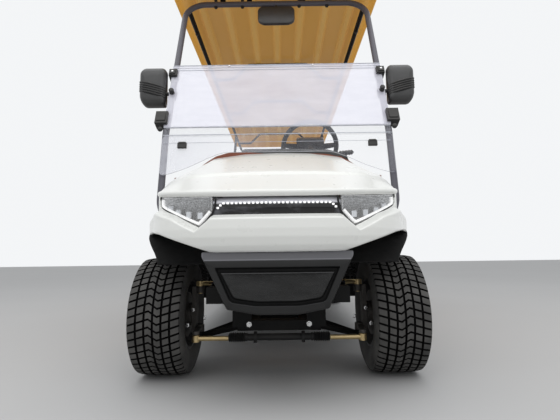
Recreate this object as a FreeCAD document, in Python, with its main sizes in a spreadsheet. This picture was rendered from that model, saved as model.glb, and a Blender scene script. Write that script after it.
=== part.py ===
import FreeCAD, Part
import math
import os
import Sketcher
from types import SimpleNamespace

from FreeCAD import Placement, Rotation, Vector

# Six-seat electric golf cart. Millimetres, +Z up, the front faces -Y and +X is the driver's side.
# The origin lies on the ground, midway along the cart and on its centre line.

SIZES = [
    # Whole cart
    ("front_overhang", 470),        # bumper face to front axle
    ("wheelbase", 2420),
    ("rear_overhang", 1030),        # rear axle to the end of roof and footrest
    ("front_track", 890),
    ("rear_track", 985),
    # Wheels and tyres
    ("tyre_radius", 228.5),
    ("tyre_width", 205),
    ("tread_width", 176),
    ("shoulder_drop", 9),           # how far the tread's edge lies inside the full radius
    ("sidewall_radius", 185),       # radius where the tyre is widest
    ("bead_radius", 128),
    ("rim_width", 176),
    ("rim_lip", 134),
    ("rim_wall", 4),
    ("rim_drop", 106),              # radius of the rim's well
    ("disc_inset", 34),             # spoke face behind the rim's outer lip
    ("disc_thick", 12),
    ("hub_bore", 30),
    ("hub_cap_radius", 34),
    ("spoke_count", 6),
    ("spoke_window_inner", 70),
    ("spoke_window_outer", 101),
    ("spoke_window_angle", 38),
    ("stud_circle", 41),
    # Chassis
    ("rail_spacing", 400),
    ("rail_wide", 50),
    ("rail_high", 70),
    ("rail_bottom", 300),
    ("rail_wall", 4),
    ("rail_front", -300),           # from the front axle
    ("rail_rear", 730),             # rear ends, from the rear axle
    ("cross_wide", 50),
    ("cross_high", 50),
    ("outrigger_long", 270),
    ("battery_half", 290),
    ("battery_deep", 360),
    ("battery_high", 230),
    ("floor_thick", 18),
    ("floor_half", 518),
    ("floor_front", 410),
    ("rocker_wide", 66),
    # Front suspension and steering
    ("kingpin_x", 322),
    ("kingpin_radius", 9),
    ("kingpin_top", 338),
    ("kingpin_foot", 160),
    ("pin_gap", 0.05),              # radial running clearance of every pin and shaft
    ("face_gap", 1.0),              # clearance between faces that turn past each other
    ("boss_high", 26),
    ("boss_radius", 17),
    ("arm_radius", 12),             # tubes of the lower arms
    ("upper_arm_radius", 8),
    ("beam_half", 118),
    ("arm_pivot_x", 146),
    ("arm_pivot_half", 85),
    ("pivot_eye", 44),
    ("pivot_z", 192),
    ("backplate_radius", 88),
    ("steer_arm", 125),             # kingpin to tie rod end
    ("steer_arm_z", 176),
    ("rack_radius", 9),
    ("rack_tube", 21),
    ("rack_half", 190),
    ("spring_x", 292),
    ("spring_top", 442),
    ("spring_radius", 25),
    ("spring_wire", 4),
    ("spring_turns", 5),
    # Rear axle
    ("axle_tube", 32),
    ("gear_case", 95),
    ("motor_radius", 78),
    ("motor_long", 135),
    ("leaf_wide", 50),
    ("leaf_thick", 7),
    ("leaf_half", 330),
    ("leaf_x", 285),
    # Tow eye
    ("tow_reach", 200),             # bore behind the rails' ends
    ("tow_z", 270),
    ("tow_thick", 16),
    ("tow_eye", 26),
    ("tow_bore", 10),
    # Front bodywork
    ("skin", 8),                    # wall of every moulded body panel
    ("panel_gap", 1.0),             # between one body panel and the next
    ("lip_z", 653),                 # hood's front lip
    ("hood_rear", 118),             # rear edge, from the front axle
    ("fascia_foot", 474),
    ("fender_foot", 560),
    ("fender_rear", 372),
    ("arch_radius", 330),
    ("seam_slope", 0.16),           # how the seam under the hood rises rearwards
    ("cowl_rear_z", 600),
    ("lamp_inner", 200),
    ("lamp_deep", 40),
    ("bumper_top", 470),
    ("bumper_foot", 282),
    ("bumper_half_top", 227),
    ("bumper_half_foot", 152),
    ("bumper_deep", 80),
    ("bumper_groove", 10),          # depth of the groove round its panel
    ("bumper_bevel", 26),
    ("liner_thick", 6),
    ("liner_inner", 235),
    ("liner_outer", 530),
    # Hoop, roof and glass
    ("hoop_radius", 15),
    ("hoop_half", 508),
    ("hoop_knee_y", 98),
    ("hoop_knee_z", 1018),
    ("hoop_rake_low", 0.19),
    ("hoop_rake_high", 0.388),
    ("hoop_top", 1875),             # middle of the cross tube
    ("hoop_bend", 110),
    ("glass_half", 515),
    ("glass_thick", 5),
    ("glass_gap", 4),               # from the hoop's tubes
    ("glass_foot", 806),
    ("glass_hinge", 1016),
    ("glass_step", 32),             # gap between the panes along the slope
    ("glass_top", 1400),
    ("clip_z", 1349),
    ("knob_z", 1230),
    ("catch_z", 945),
    ("roof_half", 565),
    ("roof_front", 270),
    ("roof_rear", 940),             # from the rear axle
    ("roof_foot", 1880),            # lower edge of the roof's rim
    ("roof_rim", 95),
    ("roof_round", 84),             # from the rim over to the top
    ("roof_wall", 5),
    ("roof_corner", 120),
    ("rib_count", 7),
    ("rib_pitch", 150),
    ("rib_wide", 44),
    ("rib_high", 18),
    ("side_tube", 13),
    ("side_tube_x", 485),
    ("side_tube_z", 1825),
    ("bow_flat", 345),
    ("bow_front", 1272),
    ("bow_middle", 1996),
    ("bow_rear", 570),              # from the rear axle
    ("rear_post_x", 550),
    ("rear_post_foot", 50),         # from the rear axle
    ("rear_post_top", 270),
    # Mirrors
    ("mirror_x", 594),
    ("mirror_z", 1272),
    ("mirror_wide", 126),
    ("mirror_high", 190),
    ("mirror_deep", 56),
    ("cabin_mirror", 206),
    # Cabin
    ("dash_half", 470),
    ("dash_deep", 262),
    ("column_x", 200),
    ("wheel_y", 800),
    ("wheel_z", 1145),
    ("wheel_rim", 168),             # steering wheel, to the middle of its grip
    ("wheel_grip", 13),
    ("hub_radius", 48),
    ("hub_deep", 24),
    ("column_angle", 38),
    ("column_radius", 19),
    ("column_long", 620),
    ("seat_half", 470),
    ("seat_deep", 470),
    ("seat_thick", 105),
    ("seat_top", 806),
    ("seat_round", 24),
    ("seat_board", 12),             # under the front cushion
    ("hinge_drop", 15),             # board's underside to the hinge pins
    ("hinge_x", 300),
    ("hinge_pin", 5),
    ("hinge_eye", 9),
    ("hinge_half", 15),
    ("back_foot", 830),
    ("back_tube", 12),
    ("arm_high", 960),              # hip rail beside each bench
    ("back_high", 370),
    ("back_thick", 85),
    ("back_lean", 8),
    ("front_seat", -1400),          # front edge of each bench, from the rear axle
    ("middle_seat", -620),
    ("rear_seat", 650),             # front edge of the bench that faces rearwards
    ("pod_half", 450),
    ("pod_deep", 500),
    ("pod_round", 36),
    ("rear_body_half", 600),
    ("rear_body_front", -600),      # from the rear axle
    ("rear_body_rear", 620),
    ("rear_deck", 560),
    ("body_round", 60),
    ("rear_arch_radius", 290),
    ("footrest_long", 400),
    ("footrest_half", 430),
    ("footrest_z", 330),
    ("grab_half", 150),
    ("grab_top", 740),
    ("tail_lamp_x", 535),
    ("tail_lamp_wide", 74),
    ("pedal_wide", 62),
]

class Measure(float):
    """A length that keeps the sheet's formula which it was worked out from."""

    def __new__(cls, number, words):
        measure = float.__new__(cls, number)
        measure.words = words
        return measure

    def __add__(self, other):
        return Measure(float(self) + float(other), "(%s + %s)" % (self.words, worded(other)))

    def __radd__(self, other):
        return Measure(float(other) + float(self), "(%s + %s)" % (worded(other), self.words))

    def __sub__(self, other):
        return Measure(float(self) - float(other), "(%s - %s)" % (self.words, worded(other)))

    def __rsub__(self, other):
        return Measure(float(other) - float(self), "(%s - %s)" % (worded(other), self.words))

    def __mul__(self, other):
        return Measure(float(self) * float(other), "(%s * %s)" % (self.words, worded(other)))

    def __rmul__(self, other):
        return Measure(float(other) * float(self), "(%s * %s)" % (worded(other), self.words))

    def __truediv__(self, other):
        return Measure(float(self) / float(other), "(%s / %s)" % (self.words, worded(other)))

    def __neg__(self):
        return Measure(-float(self), "(-1 * %s)" % self.words)


def worded(number):
    """A formula for a plain number or for one that already has a formula."""
    return getattr(number, "words", repr(float(number)))


doc = FreeCAD.newDocument("golf_cart")
sheet = doc.addObject("Spreadsheet::Sheet", "sizes")
for row, (alias, number) in enumerate(SIZES, 1):
    sheet.set("A%d" % row, alias.replace("_", " "))
    sheet.set("B%d" % row, str(number))
    sheet.setAlias("B%d" % row, alias)
doc.recompute()
size = SimpleNamespace(**{alias: Measure(number, "sizes." + alias) for alias, number in SIZES})

front_axle_y = (size.front_overhang - size.wheelbase - size.rear_overhang) / 2
rear_axle_y = front_axle_y + size.wheelbase
rail_rear_y = size.wheelbase + size.rail_rear
roof_rear_y = size.wheelbase + size.roof_rear
bow_rear_y = size.wheelbase + size.bow_rear
rear_post_foot_y = size.wheelbase + size.rear_post_foot
rear_post_top_y = size.wheelbase + size.rear_post_top
front_seat_y = size.wheelbase + size.front_seat
middle_seat_y = size.wheelbase + size.middle_seat
rear_seat_y = size.wheelbase + size.rear_seat
rear_body_front_y = size.wheelbase + size.rear_body_front
rear_body_rear_y = size.wheelbase + size.rear_body_rear
X_AXIS, Y_AXIS, Z_AXIS = Vector(1, 0, 0), Vector(0, 1, 0), Vector(0, 0, 1)
nodes = []


def at(x, y, z):
    """A point whose y is measured rearwards from the front axle."""
    return Vector(x, front_axle_y + y, z)


def bound(thing, **sizes):
    """Ties named sizes of an object to the sheet."""
    for name, length in sizes.items():
        thing.setExpression(name, worded(length))
    return thing


def node(thing, label):
    """Counts an object as a finished piece under its own name."""
    thing.Label = label
    nodes.append(thing)
    return thing


def box(name, corner, length, width, height):
    """A block from its lowest corner."""
    block = bound(doc.addObject("Part::Box", name), Length=length, Width=width, Height=height)
    block.Placement = Placement(corner, Rotation())
    return block


def shape(name, solid):
    """An object that holds a solid worked out by Part's own functions."""
    thing = doc.addObject("Part::Feature", name)
    thing.Shape = solid
    return thing


def fused(name, pieces):
    """One object of several that touch or overlap."""
    union = doc.addObject("Part::MultiFuse", name)
    union.Shapes = pieces
    union.Refine = True
    return union


def cut(name, base, tool):
    """One object less another."""
    rest = doc.addObject("Part::Cut", name)
    rest.Base = base
    rest.Tool = tool
    return rest


def both(solid):
    """A solid and its mirror image across the cart's middle, which don't touch."""
    return Part.makeCompound([solid, solid.mirror(Vector(0, 0, 0), X_AXIS)])


def extruded(points, direction):
    """A prism on a closed outline of straight sides."""
    return Part.Face(Part.makePolygon(points + points[:1])).extrude(direction)


def across(outline, half, middle=0.0):
    """A prism across the cart on an outline of (y, z) points."""
    return extruded([at(middle - half, y, z) for y, z in outline], Vector(2 * half, 0, 0))


def block(low, high):
    """A plain block between two corners."""
    return Part.makeBox(high.x - low.x, high.y - low.y, high.z - low.z, low)


def bent_path(points, bend):
    """A wire of straight runs joined by tangent arcs of one radius, or less where a run is short."""
    edges, last = [], points[0]
    for before, corner, after in zip(points, points[1:], points[2:]):
        into, out = (before - corner).normalize(), (after - corner).normalize()
        half_turn = (math.pi - into.getAngle(out)) / 2
        room = 0.45 * min((before - corner).Length, (after - corner).Length)
        reach = min(bend * math.tan(half_turn), room)
        radius = reach / math.tan(half_turn)
        middle = corner + (into + out).normalize() * (radius / math.cos(half_turn) - radius)
        start, end = corner + into * reach, corner + out * reach
        edges += [Part.LineSegment(last, start).toShape(), Part.Arc(start, middle, end).toShape()]
        last = end
    edges.append(Part.LineSegment(last, points[-1]).toShape())
    return Part.Wire(edges)


def tube(points, radius, bend=60.0):
    """A round bar along straight runs and arcs."""
    path = bent_path(points, bend) if len(points) > 2 else Part.makePolygon(points)
    ring = Part.Wire(Part.makeCircle(radius, points[0], points[1] - points[0]))
    return path.makePipeShell([ring], True, False)


def mitred(points, radius, bend):
    """A round bar whose bends are two mitres close together."""
    path = points[:1]
    for before, corner, after in zip(points, points[1:], points[2:]):
        path += [corner + (before - corner).normalize() * bend, corner + (after - corner).normalize() * bend]
    path.append(points[-1])
    ring = Part.Wire(Part.makeCircle(radius, path[0], path[1] - path[0]))
    return Part.makePolygon(path).makePipeShell([ring], True, False, 1)


def union(solids):
    """One solid of several that touch or overlap."""
    return solids[0].multiFuse(solids[1:]).removeSplitter()


def sketched(body, name, plane, corners, shift=0.0):
    """A closed outline on the body's own plane, each corner tied to the sheet by its two distances."""
    sketch = body.newObject("Sketcher::SketchObject", name)
    support = next(item for item in body.Origin.OriginFeatures if item.Role == plane)
    sketch.AttachmentSupport = [(support, "")]
    sketch.MapMode = "FlatFace"
    sketch.AttachmentOffset = Placement(Vector(0, 0, shift), Rotation())
    count = len(corners)
    spots = [Vector(x, y, 0) for x, y in corners]
    sketch.addGeometry([Part.LineSegment(spots[i], spots[(i + 1) % count]) for i in range(count)])
    for i, (x, y) in enumerate(corners):
        sketch.addConstraint(Sketcher.Constraint("Coincident", i, 2, (i + 1) % count, 1))
        for kind, length in (("DistanceX", x), ("DistanceY", y)):
            index = sketch.addConstraint(Sketcher.Constraint(kind, -1, 1, i, 1, float(length)))
            if hasattr(length, "words"):
                sketch.setExpression("Constraints[%d]" % index, length.words)
    return sketch


def revolved(body, sketch, axis="H_Axis"):
    """A full turn of a sketch about one of its axes."""
    turn = body.newObject("PartDesign::Revolution", sketch.Name + "_turn")
    turn.Profile = sketch
    turn.ReferenceAxis = (sketch, [axis])
    turn.Angle = 360
    return turn


def padded(body, sketch, length, midplane=False):
    """A sketch grown into a solid."""
    pad = bound(body.newObject("PartDesign::Pad", sketch.Name + "_pad"), Length=length)
    pad.Profile = sketch
    pad.Midplane = midplane
    return pad


def pocketed(body, sketch, length):
    """A sketch cut both ways through a solid."""
    pocket = bound(body.newObject("PartDesign::Pocket", sketch.Name + "_cut"), Length=length)
    pocket.Profile = sketch
    pocket.Midplane = True
    return pocket


def rounded(body, feature, radius, wanted):
    """Fillets the edges of the last feature that a test picks out."""
    doc.recompute()
    names = ["Edge%d" % i for i, edge in enumerate(feature.Shape.Edges, 1) if wanted(edge)]
    fillet = bound(body.newObject("PartDesign::Fillet", feature.Name + "_round"), Radius=radius)
    fillet.Base = (feature, names)
    return fillet


# Chassis: two box rails with cross members, and the outriggers that carry the floor and the body.
floor_top = size.rail_bottom + size.rail_high + size.floor_thick
rail_inner = (size.rail_spacing - size.rail_wide) / 2
rail_outer = (size.rail_spacing + size.rail_wide) / 2
cross_z = size.rail_bottom + (size.rail_high - size.cross_high) / 2


def chassis():
    long = rail_rear_y - size.rail_front
    pieces = []
    for side in (-1, 1):
        low = at(side * size.rail_spacing / 2 - size.rail_wide / 2, size.rail_front, size.rail_bottom)
        outer = box("rail_outer", low, size.rail_wide, long, size.rail_high)
        hollow = box("rail_hollow", low + Vector(size.rail_wall, -1, size.rail_wall),
                     size.rail_wide - 2 * size.rail_wall, long + 2, size.rail_high - 2 * size.rail_wall)
        pieces.append(cut("rail", outer, hollow))
    for y in (size.rail_front, size.floor_front + 150, front_seat_y + 160, rear_body_front_y - 60,
              rail_rear_y - size.cross_wide):
        pieces.append(box("cross_member", at(-rail_inner, y, cross_z), 2 * rail_inner, size.cross_wide, size.cross_high))
    for y in (size.fender_rear + 4, front_seat_y + 160, rear_body_front_y + 30):
        for side in (-1, 1):
            x = rail_outer if side > 0 else -rail_outer - size.outrigger_long
            pieces.append(box("outrigger", at(x, y, cross_z), size.outrigger_long, size.cross_wide, size.cross_high))
    for side in (-1, 1):
        x = side * (rail_inner + size.rail_wide / 2) - size.rail_wide / 2
        pieces.append(box("bumper_arm", at(x, size.bumper_deep - size.front_overhang, cross_z), size.rail_wide,
                          size.rail_front + size.front_overhang - size.bumper_deep, size.cross_high))
    return node(fused("chassis_rails", pieces), "chassis_frame")


def floor():
    """One moulded floor: the sloping toe board and the flat tread."""
    top, thick, front = floor_top, size.floor_thick, size.floor_front
    outline = [(front + 6, top + 190), (front + 24, top + 190), (front + 150, top), (rear_body_front_y - 6, top),
               (rear_body_front_y - 6, top - thick), (front + 142, top - thick)]
    return node(shape("floor", across(outline, size.floor_half)), "floor_board")


def rockers():
    """The dark moulded sills along both edges of the floor, with their rolled upper edge."""
    low, high = size.rail_bottom - 60, floor_top + 24
    inner, outer = size.floor_half + 0.3, size.floor_half + size.rocker_wide
    profile = [Vector(inner, 0, low + 40), Vector(inner + 12, 0, low), Vector(outer - 16, 0, low),
               Vector(outer, 0, low + 30), Vector(outer, 0, high - 24), Vector(outer - 22, 0, high),
               Vector(inner + 8, 0, high), Vector(inner, 0, high - 10)]
    start = at(0, size.fender_rear + 2, 0)
    long = rear_body_front_y - 4 - (size.fender_rear + 2)
    sill = extruded([start + point for point in profile], Vector(0, long, 0))
    return node(shape("rockers", both(sill)), "rocker_panels")


chassis()
floor()
rockers()


# Battery: a heavy mass closed in under the front bench, as a plain block.
node(box("battery", at(-size.battery_half, front_seat_y + 70, floor_top + 0.3), 2 * size.battery_half,
         size.battery_deep, size.battery_high), "battery_pack")


# Front suspension: a beam under the rails, a lower and an upper arm to each upright, and a sprung strut above.
axle_z = size.tyre_radius
hub_seat = size.rim_width / 2 - size.disc_inset - 5
king = size.kingpin_x


def front_beam():
    """A ring of two cross beams hung between the rails, with a clevis for each foot of the lower arms."""
    half, reach, z = size.beam_half, size.arm_pivot_half, size.pivot_z
    eye = size.pivot_eye / 2
    pieces = [block(at(low, -reach, z - 6), at(low + 40, reach, z + 20)) for low in (-half, half - 40)]
    for sign in (-1, 1):
        low, high = sorted((sign * (reach - eye - 4), sign * (reach + eye + 23)))
        pieces.append(block(at(-half, low, z - 10), at(half, high, z + 26)))
        for side in (-1, 1):
            left, right = sorted((side * (half - 14), side * rail_inner))
            low, high = sorted((sign * (reach + eye + 4), sign * (reach + eye + 23)))
            pieces.append(block(at(left, low, z + 4), at(right, high, size.rail_bottom + 40)))
            left, right = sorted((side * half, side * (size.arm_pivot_x + 12)))
            for y in (sign * (reach - eye - 2.3), sign * (reach + eye + 2.3)):
                pieces.append(block(at(left, y - 2, z - 14), at(right, y + 2, z + 14)))
    return node(shape("beam", union(pieces)), "front_beam")


def spring_brackets():
    """Bent plates on the rails' outer faces: towers over the front springs, hangers over the rear leaves."""
    top = size.spring_top
    post = block(at(rail_outer, -34, size.rail_bottom + 4), at(rail_outer + 8, 34, top + 8))
    shelf = block(at(rail_outer, -34, top), at(size.spring_x + 26, 34, top + 8))
    hangers = []
    for sign in (-1, 1):
        y = size.wheelbase + sign * (size.leaf_half - 22)
        hangers.append(block(at(rail_outer, y - 22, size.rail_bottom + 0.3), at(size.leaf_x + 30, y + 22, size.rail_bottom + 44)))
    return node(shape("brackets", both(Part.makeCompound([union([post, shelf])] + hangers))), "spring_brackets")


def lower_arms():
    """Wishbones of round tube with an eye under each upright, whose pin stands up into it."""
    pieces = []
    tip = at(king, 0, size.kingpin_foot - 10)
    for sign in (-1, 1):
        foot = at(size.arm_pivot_x, sign * size.arm_pivot_half, size.pivot_z)
        pieces.append(tube([foot, tip - Vector(14, -sign * 4, 5)], size.arm_radius - 1))
        pieces.append(Part.makeCylinder(size.arm_radius + 1, size.pivot_eye, foot - Vector(0, size.pivot_eye / 2, 0), Y_AXIS))
    pieces.append(Part.makeCylinder(size.boss_radius, 20, tip - Vector(0, 0, 10)))
    pieces.append(Part.makeCylinder(size.kingpin_radius, 40, tip))
    return node(shape("lower_arms", both(union(pieces))), "lower_arms")


def upper_arms():
    """Short plated wishbones with an eye over each upright, whose pin hangs down into it."""
    pieces = []
    tip = at(king, 0, size.kingpin_top + 12)
    for sign in (-1, 1):
        foot = at(rail_outer + 12, sign * 62, tip.z)
        pieces.append(tube([foot, tip - Vector(10, -sign * 6, 0)], size.upper_arm_radius))
        pieces.append(Part.makeCylinder(11, 30, foot - Vector(0, 15, 0), Y_AXIS))
    pieces.append(Part.makeCylinder(size.boss_radius, 20, tip - Vector(0, 0, 10)))
    pieces.append(Part.makeCylinder(size.kingpin_radius, 40, tip - Vector(0, 0, 40)))
    pieces.append(block(at(size.spring_x - 20, -16, tip.z - 6), at(size.spring_x + 20, 16, tip.z + 10)))
    return node(shape("upper_arms", both(union(pieces))), "upper_arms")


def springs():
    """A coil round a damper on each upper arm, drawn as stacked rings that the damper's body carries."""
    foot, top = size.kingpin_top + 22.3, size.spring_top - 0.3
    base = at(size.spring_x, 0, foot)
    pieces = [Part.makeCylinder(size.spring_radius - 9, top - foot, base)]
    pieces += [Part.makeCylinder(size.spring_radius, 4, base), Part.makeCylinder(size.spring_radius, 4, base + Vector(0, 0, top - foot - 4))]
    step = (top - foot - 8) / size.spring_turns
    for turn in range(int(size.spring_turns)):
        middle = base + Vector(0, 0, 4 + (turn + 0.5) * step)
        pieces.append(Part.makeCylinder(size.spring_radius - 2, 2 * size.spring_wire, middle - Vector(0, 0, size.spring_wire)))
    return node(shape("springs", both(union(pieces))), "coil_springs")


def upright(name, side):
    """The casting that turns on the two pins: bosses, web, stub axle and steering arm."""
    low, high = size.kingpin_foot + size.face_gap, size.kingpin_top + 2 - size.face_gap
    pieces = [Part.makeCylinder(size.boss_radius, size.boss_high, at(king, 0, low)),
              Part.makeCylinder(size.boss_radius, size.boss_high, at(king, 0, high - size.boss_high)),
              block(at(king + 12, -20, low), at(king + 30, 20, high)),
              Part.makeCylinder(size.hub_bore + 14, 18, at(king + 30, 0, axle_z), X_AXIS),
              Part.makeCylinder(size.backplate_radius, 5, at(king + 48, 0, axle_z), X_AXIS)]
    arm_end = at(king - 10, -size.steer_arm, size.steer_arm_z)
    root = at(king + 4, -8, size.steer_arm_z)
    pieces.append(extruded([root + Vector(-12, 0, -6), root + Vector(14, 0, -6), arm_end + Vector(9, 0, -6),
                            arm_end + Vector(-9, 0, -6)], Vector(0, 0, 12)))
    pieces.append(Part.makeCylinder(14, 12, arm_end - Vector(0, 0, 6)))
    reach = size.front_track / 2 + hub_seat - king - 48
    pieces.append(Part.makeCylinder(size.hub_bore - size.pin_gap, reach, at(king + 48, 0, axle_z), X_AXIS))
    solid = union(pieces)
    bore = Part.makeCylinder(size.kingpin_radius + size.pin_gap, 400, at(king, 0, 100))
    solid = solid.cut(bore)
    return node(shape(name, solid if side > 0 else solid.mirror(Vector(0, 0, 0), X_AXIS)), name)


front_beam()
spring_brackets()
lower_arms()
upper_arms()
springs()
upright("upright_left", -1)
upright("upright_right", 1)


# Steering rack: a housing on the beam and the bar that slides in it out to the steering arms.
rack_z = size.steer_arm_z - 21


def rack():
    y = -size.steer_arm
    housing = [Part.makeCylinder(size.rack_tube, 2 * size.rack_half, at(-size.rack_half, y, rack_z), X_AXIS)]
    for side in (-1, 1):
        x = side * 90
        housing.append(block(at(x - 18, y - 14, rack_z), at(x + 18, y + 24, size.pivot_z - 10.3)))
    solid = union(housing).cut(Part.makeCylinder(size.rack_radius + size.pin_gap, 3 * size.rack_half,
                                                 at(-1.5 * size.rack_half, y, rack_z), X_AXIS))
    node(shape("rack_tube", solid), "rack_housing")
    end = king - 10
    bar = [Part.makeCylinder(size.rack_radius, 2 * end, at(-end, y, rack_z), X_AXIS)]
    bar += [Part.makeCylinder(14, 24, at(side * end, y, rack_z - 12)) for side in (-1, 1)]
    node(shape("rack_bar", union(bar)), "steering_rack")


rack()


# Rear axle: tube, gear case and motor on two leaf springs that hang from the rails.
def rear_axle():
    y = size.wheelbase
    reach = size.rear_track / 2 + hub_seat
    drum = size.rear_track / 2 - size.rim_width / 2 + 16
    pieces = [Part.makeCylinder(size.axle_tube, 2 * drum, at(-drum, y, axle_z), X_AXIS),
              Part.makeCylinder(size.hub_bore - size.pin_gap, 2 * reach, at(-reach, y, axle_z), X_AXIS),
              Part.makeCone(size.axle_tube + 4, size.gear_case, 70, at(-40, y, axle_z), X_AXIS),
              Part.makeCylinder(size.gear_case, 50, at(30, y, axle_z), X_AXIS),
              Part.makeCone(size.gear_case, size.axle_tube + 4, 60, at(80, y, axle_z), X_AXIS),
              Part.makeCylinder(size.motor_radius, size.motor_long, at(-30, y + 150, axle_z + 10), -X_AXIS)]
    pieces.append(block(at(-36, y + 2, axle_z - 58), at(32, y + 152, axle_z + 61)))
    for side in (-1, 1):
        pieces.append(Part.makeCylinder(size.backplate_radius, 5, at(side * drum, y, axle_z), X_AXIS * side))
    return node(shape("rear_axle", union(pieces)), "rear_axle")


def leaf_springs():
    """Three arched leaves on each side over the axle tube, clamped by U bolts."""
    y, top = size.wheelbase, size.rail_bottom
    foot = axle_z + size.axle_tube
    pieces = []
    for number, share in enumerate((1.0, 0.72, 0.45)):
        reach = size.leaf_half * share
        low = foot + 0.3 + (2 - number) * size.leaf_thick
        rise = (top - size.leaf_thick - foot - 2 * size.leaf_thick) * share * share
        mid = low + rise * 0.3
        outline = [(y - reach, low + rise), (y - reach / 2, mid), (y, low), (y + reach / 2, mid), (y + reach, low + rise)]
        upper = [(a, b + size.leaf_thick) for a, b in reversed(outline)]
        pieces.append(across(outline + upper, size.leaf_wide / 2, size.leaf_x))
    pieces.append(block(at(size.leaf_x - 31, y - 34, foot + 0.3), at(size.leaf_x + 31, y + 34, foot + 3.4 * size.leaf_thick)))
    return node(shape("leaves", both(union(pieces))), "leaf_springs")


def tow_eye():
    """A plate under the chassis's rear cross member with a bore for a pin across the cart."""
    half, y, z = size.tow_thick / 2, rail_rear_y + size.tow_reach, size.tow_z
    plate = across([(rail_rear_y - 50, cross_z - 0.3), (rail_rear_y - 50, cross_z - 30), (y, z - size.tow_eye),
                    (y, z + size.tow_eye)], half)
    eye = Part.makeCylinder(size.tow_eye, 2 * half, at(-half, y, z), X_AXIS)
    foot = block(at(-60, rail_rear_y - 50, cross_z - 8.3), at(60, rail_rear_y, cross_z - 0.3))
    pin = Part.makeCylinder(size.tow_bore, 4 * half, at(-2 * half, y, z), X_AXIS)
    return node(shape("tow_plate", union([plate, eye, foot]).cut(pin)), "tow_eye")


rear_axle()
leaf_springs()
tow_eye()


# Front bodywork: a short hood over a fascia whose sides are the front wings, with a band for the lamps.
HOOD = [  # y, crown z, half width at the seam
    (-440, 655, 130), (-428, 663, 215), (-396, 681, 290), (-341, 713, 360), (-264, 755, 412), (-174, 793, 447),
    (-54, 844, 472), (118, 918, 491)]
HOOD_RIB = [  # share of the half width, share of the height over the seam
    (0.64, 0.82), (0.73, 0.667), (0.91, 0.455), (0.973, 0.393), (1.0, 0.153)]
FASCIA = [  # z, middle of the front y, y at the lamp's inner end, corner x, corner y, flank x
    (250, -446, -430, 425, -240, 510), (474, -450, -436, 430, -240, 513), (530, -466, -448, 440, -240, 520),
    (574, -460, -440, 439, -240, 520), (582, -436, -414, 419, -245, 493), (652, -435, -412, 418, -245, 490),
    (780, -432, -410, 410, -235, 486)]


def seam(y):
    """Height of the seam between hood and fascia."""
    return size.lip_z - 3 + (y + size.front_overhang - 30) * size.seam_slope


def hood_section(station, wall):
    """The hood's cross section at one station, in a plane across the cart."""
    y, crown, half = station
    foot = seam(y)
    right = [at(half * x_share - wall * x_share, y, foot + (crown - foot) * z_share - wall) for x_share, z_share in HOOD_RIB]
    right.append(at(half - wall, y, foot - wall - 1))
    left = [Vector(-p.x, p.y, p.z) for p in reversed(right)]
    edges = [Part.Arc(left[-1], at(0, y, crown - wall), right[0]).toShape()]
    loop = right + left
    edges += [Part.LineSegment(a, b).toShape() for a, b in zip(loop, loop[1:])]
    return Part.Wire(edges)


def hood():
    """The hood's skin, open below and at its rear edge."""
    outer = Part.makeLoft([hood_section(station, 0) for station in HOOD], True, True)
    front, *middle, rear = HOOD
    inner = [(front[0] + size.skin,) + front[1:]] + middle + [(rear[0] + 1,) + rear[1:]]
    return outer.cut(Part.makeLoft([hood_section(station, size.skin) for station in inner], True, True))


def fascia_section(station, wall):
    """The fascia's outline in plan at one height, open side rearwards."""
    z, front, inner_y, corner_x, corner_y, flank = station
    rear = size.fender_rear + (20 if wall else 0)
    right = [at(size.lamp_inner + 90, inner_y + 22 + wall, z), at(corner_x - wall, corner_y + wall * 0.5, z),
             at(flank - wall, 50, z), at(flank - wall, rear, z)]
    left = [Vector(-p.x, p.y, p.z) for p in reversed(right)]
    turn = at(corner_x - 46 - wall * 0.7, (inner_y + 22 + corner_y) / 2 + wall * 0.7, z)
    wing = at(corner_x + (flank - corner_x) * 0.76 - wall, corner_y + (50 - corner_y) * 0.42 + wall * 0.2, z)
    turn_left, wing_left = Vector(-turn.x, turn.y, turn.z), Vector(-wing.x, wing.y, wing.z)
    arcs = [(left[-1], at(0, front + wall, z), right[0]), (right[0], turn, right[1]), (right[1], wing, right[2]),
            (left[1], wing_left, left[2]), (left[2], turn_left, left[3])]
    edges = [Part.Arc(*points).toShape() for points in arcs[:3]]
    edges += [Part.LineSegment(a, b).toShape() for a, b in ((right[2], right[3]), (right[3], left[0]), (left[0], left[1]))]
    edges += [Part.Arc(*points).toShape() for points in arcs[3:]]
    return Part.Wire(edges)


def fascia_outer(wall=0.0):
    rows = FASCIA if not wall else [(z - 10 if z == FASCIA[0][0] else z + 10 if z == FASCIA[-1][0] else z,) + tuple(rest)
                                    for z, *rest in FASCIA]
    return Part.makeLoft([fascia_section(station, wall) for station in rows], True, True)


def under_wing():
    """What is cut away below the wings: the slant up from the bumper, the wheel arch and all below."""
    slant = across([(-700, 0), (-700, size.fascia_foot), (-size.front_overhang + 18, size.fascia_foot),
                    (-104, size.fender_foot), (0, size.fender_foot - 2), (0, 0)], 700)
    arch = Part.makeCylinder(size.arch_radius, 1400, at(-700, 0, axle_z), X_AXIS)
    below = across([(-size.arch_radius, 0), (-size.arch_radius, axle_z), (size.arch_radius, axle_z), (size.arch_radius, 0)], 700)
    return slant.fuse([arch, below])


def over_seam(gap):
    """What lies above the seam with the hood, and above the cowl's sloping rear edge."""
    end = size.fender_rear + 40
    return across([(-700, seam(-700) - gap), (size.hood_rear, seam(size.hood_rear) - gap),
                   (end, size.cowl_rear_z), (end, 1400), (-700, 1400)], 700)


def lamp_outline(gap, side):
    """The headlamp's outline seen from the front, grown by a gap."""
    points = [(size.lamp_inner - gap, 646 + gap), (300, 667 + gap), (398, 682 + gap), (418 + gap, 674),
              (420 + gap, 634 - gap), (330, 590 - gap), (243, 543 - gap), (230 - gap, 552 - gap),
              (size.lamp_inner - gap, 594 - gap)]
    return [at(side * x, -700, z) for x, z in points]


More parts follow.
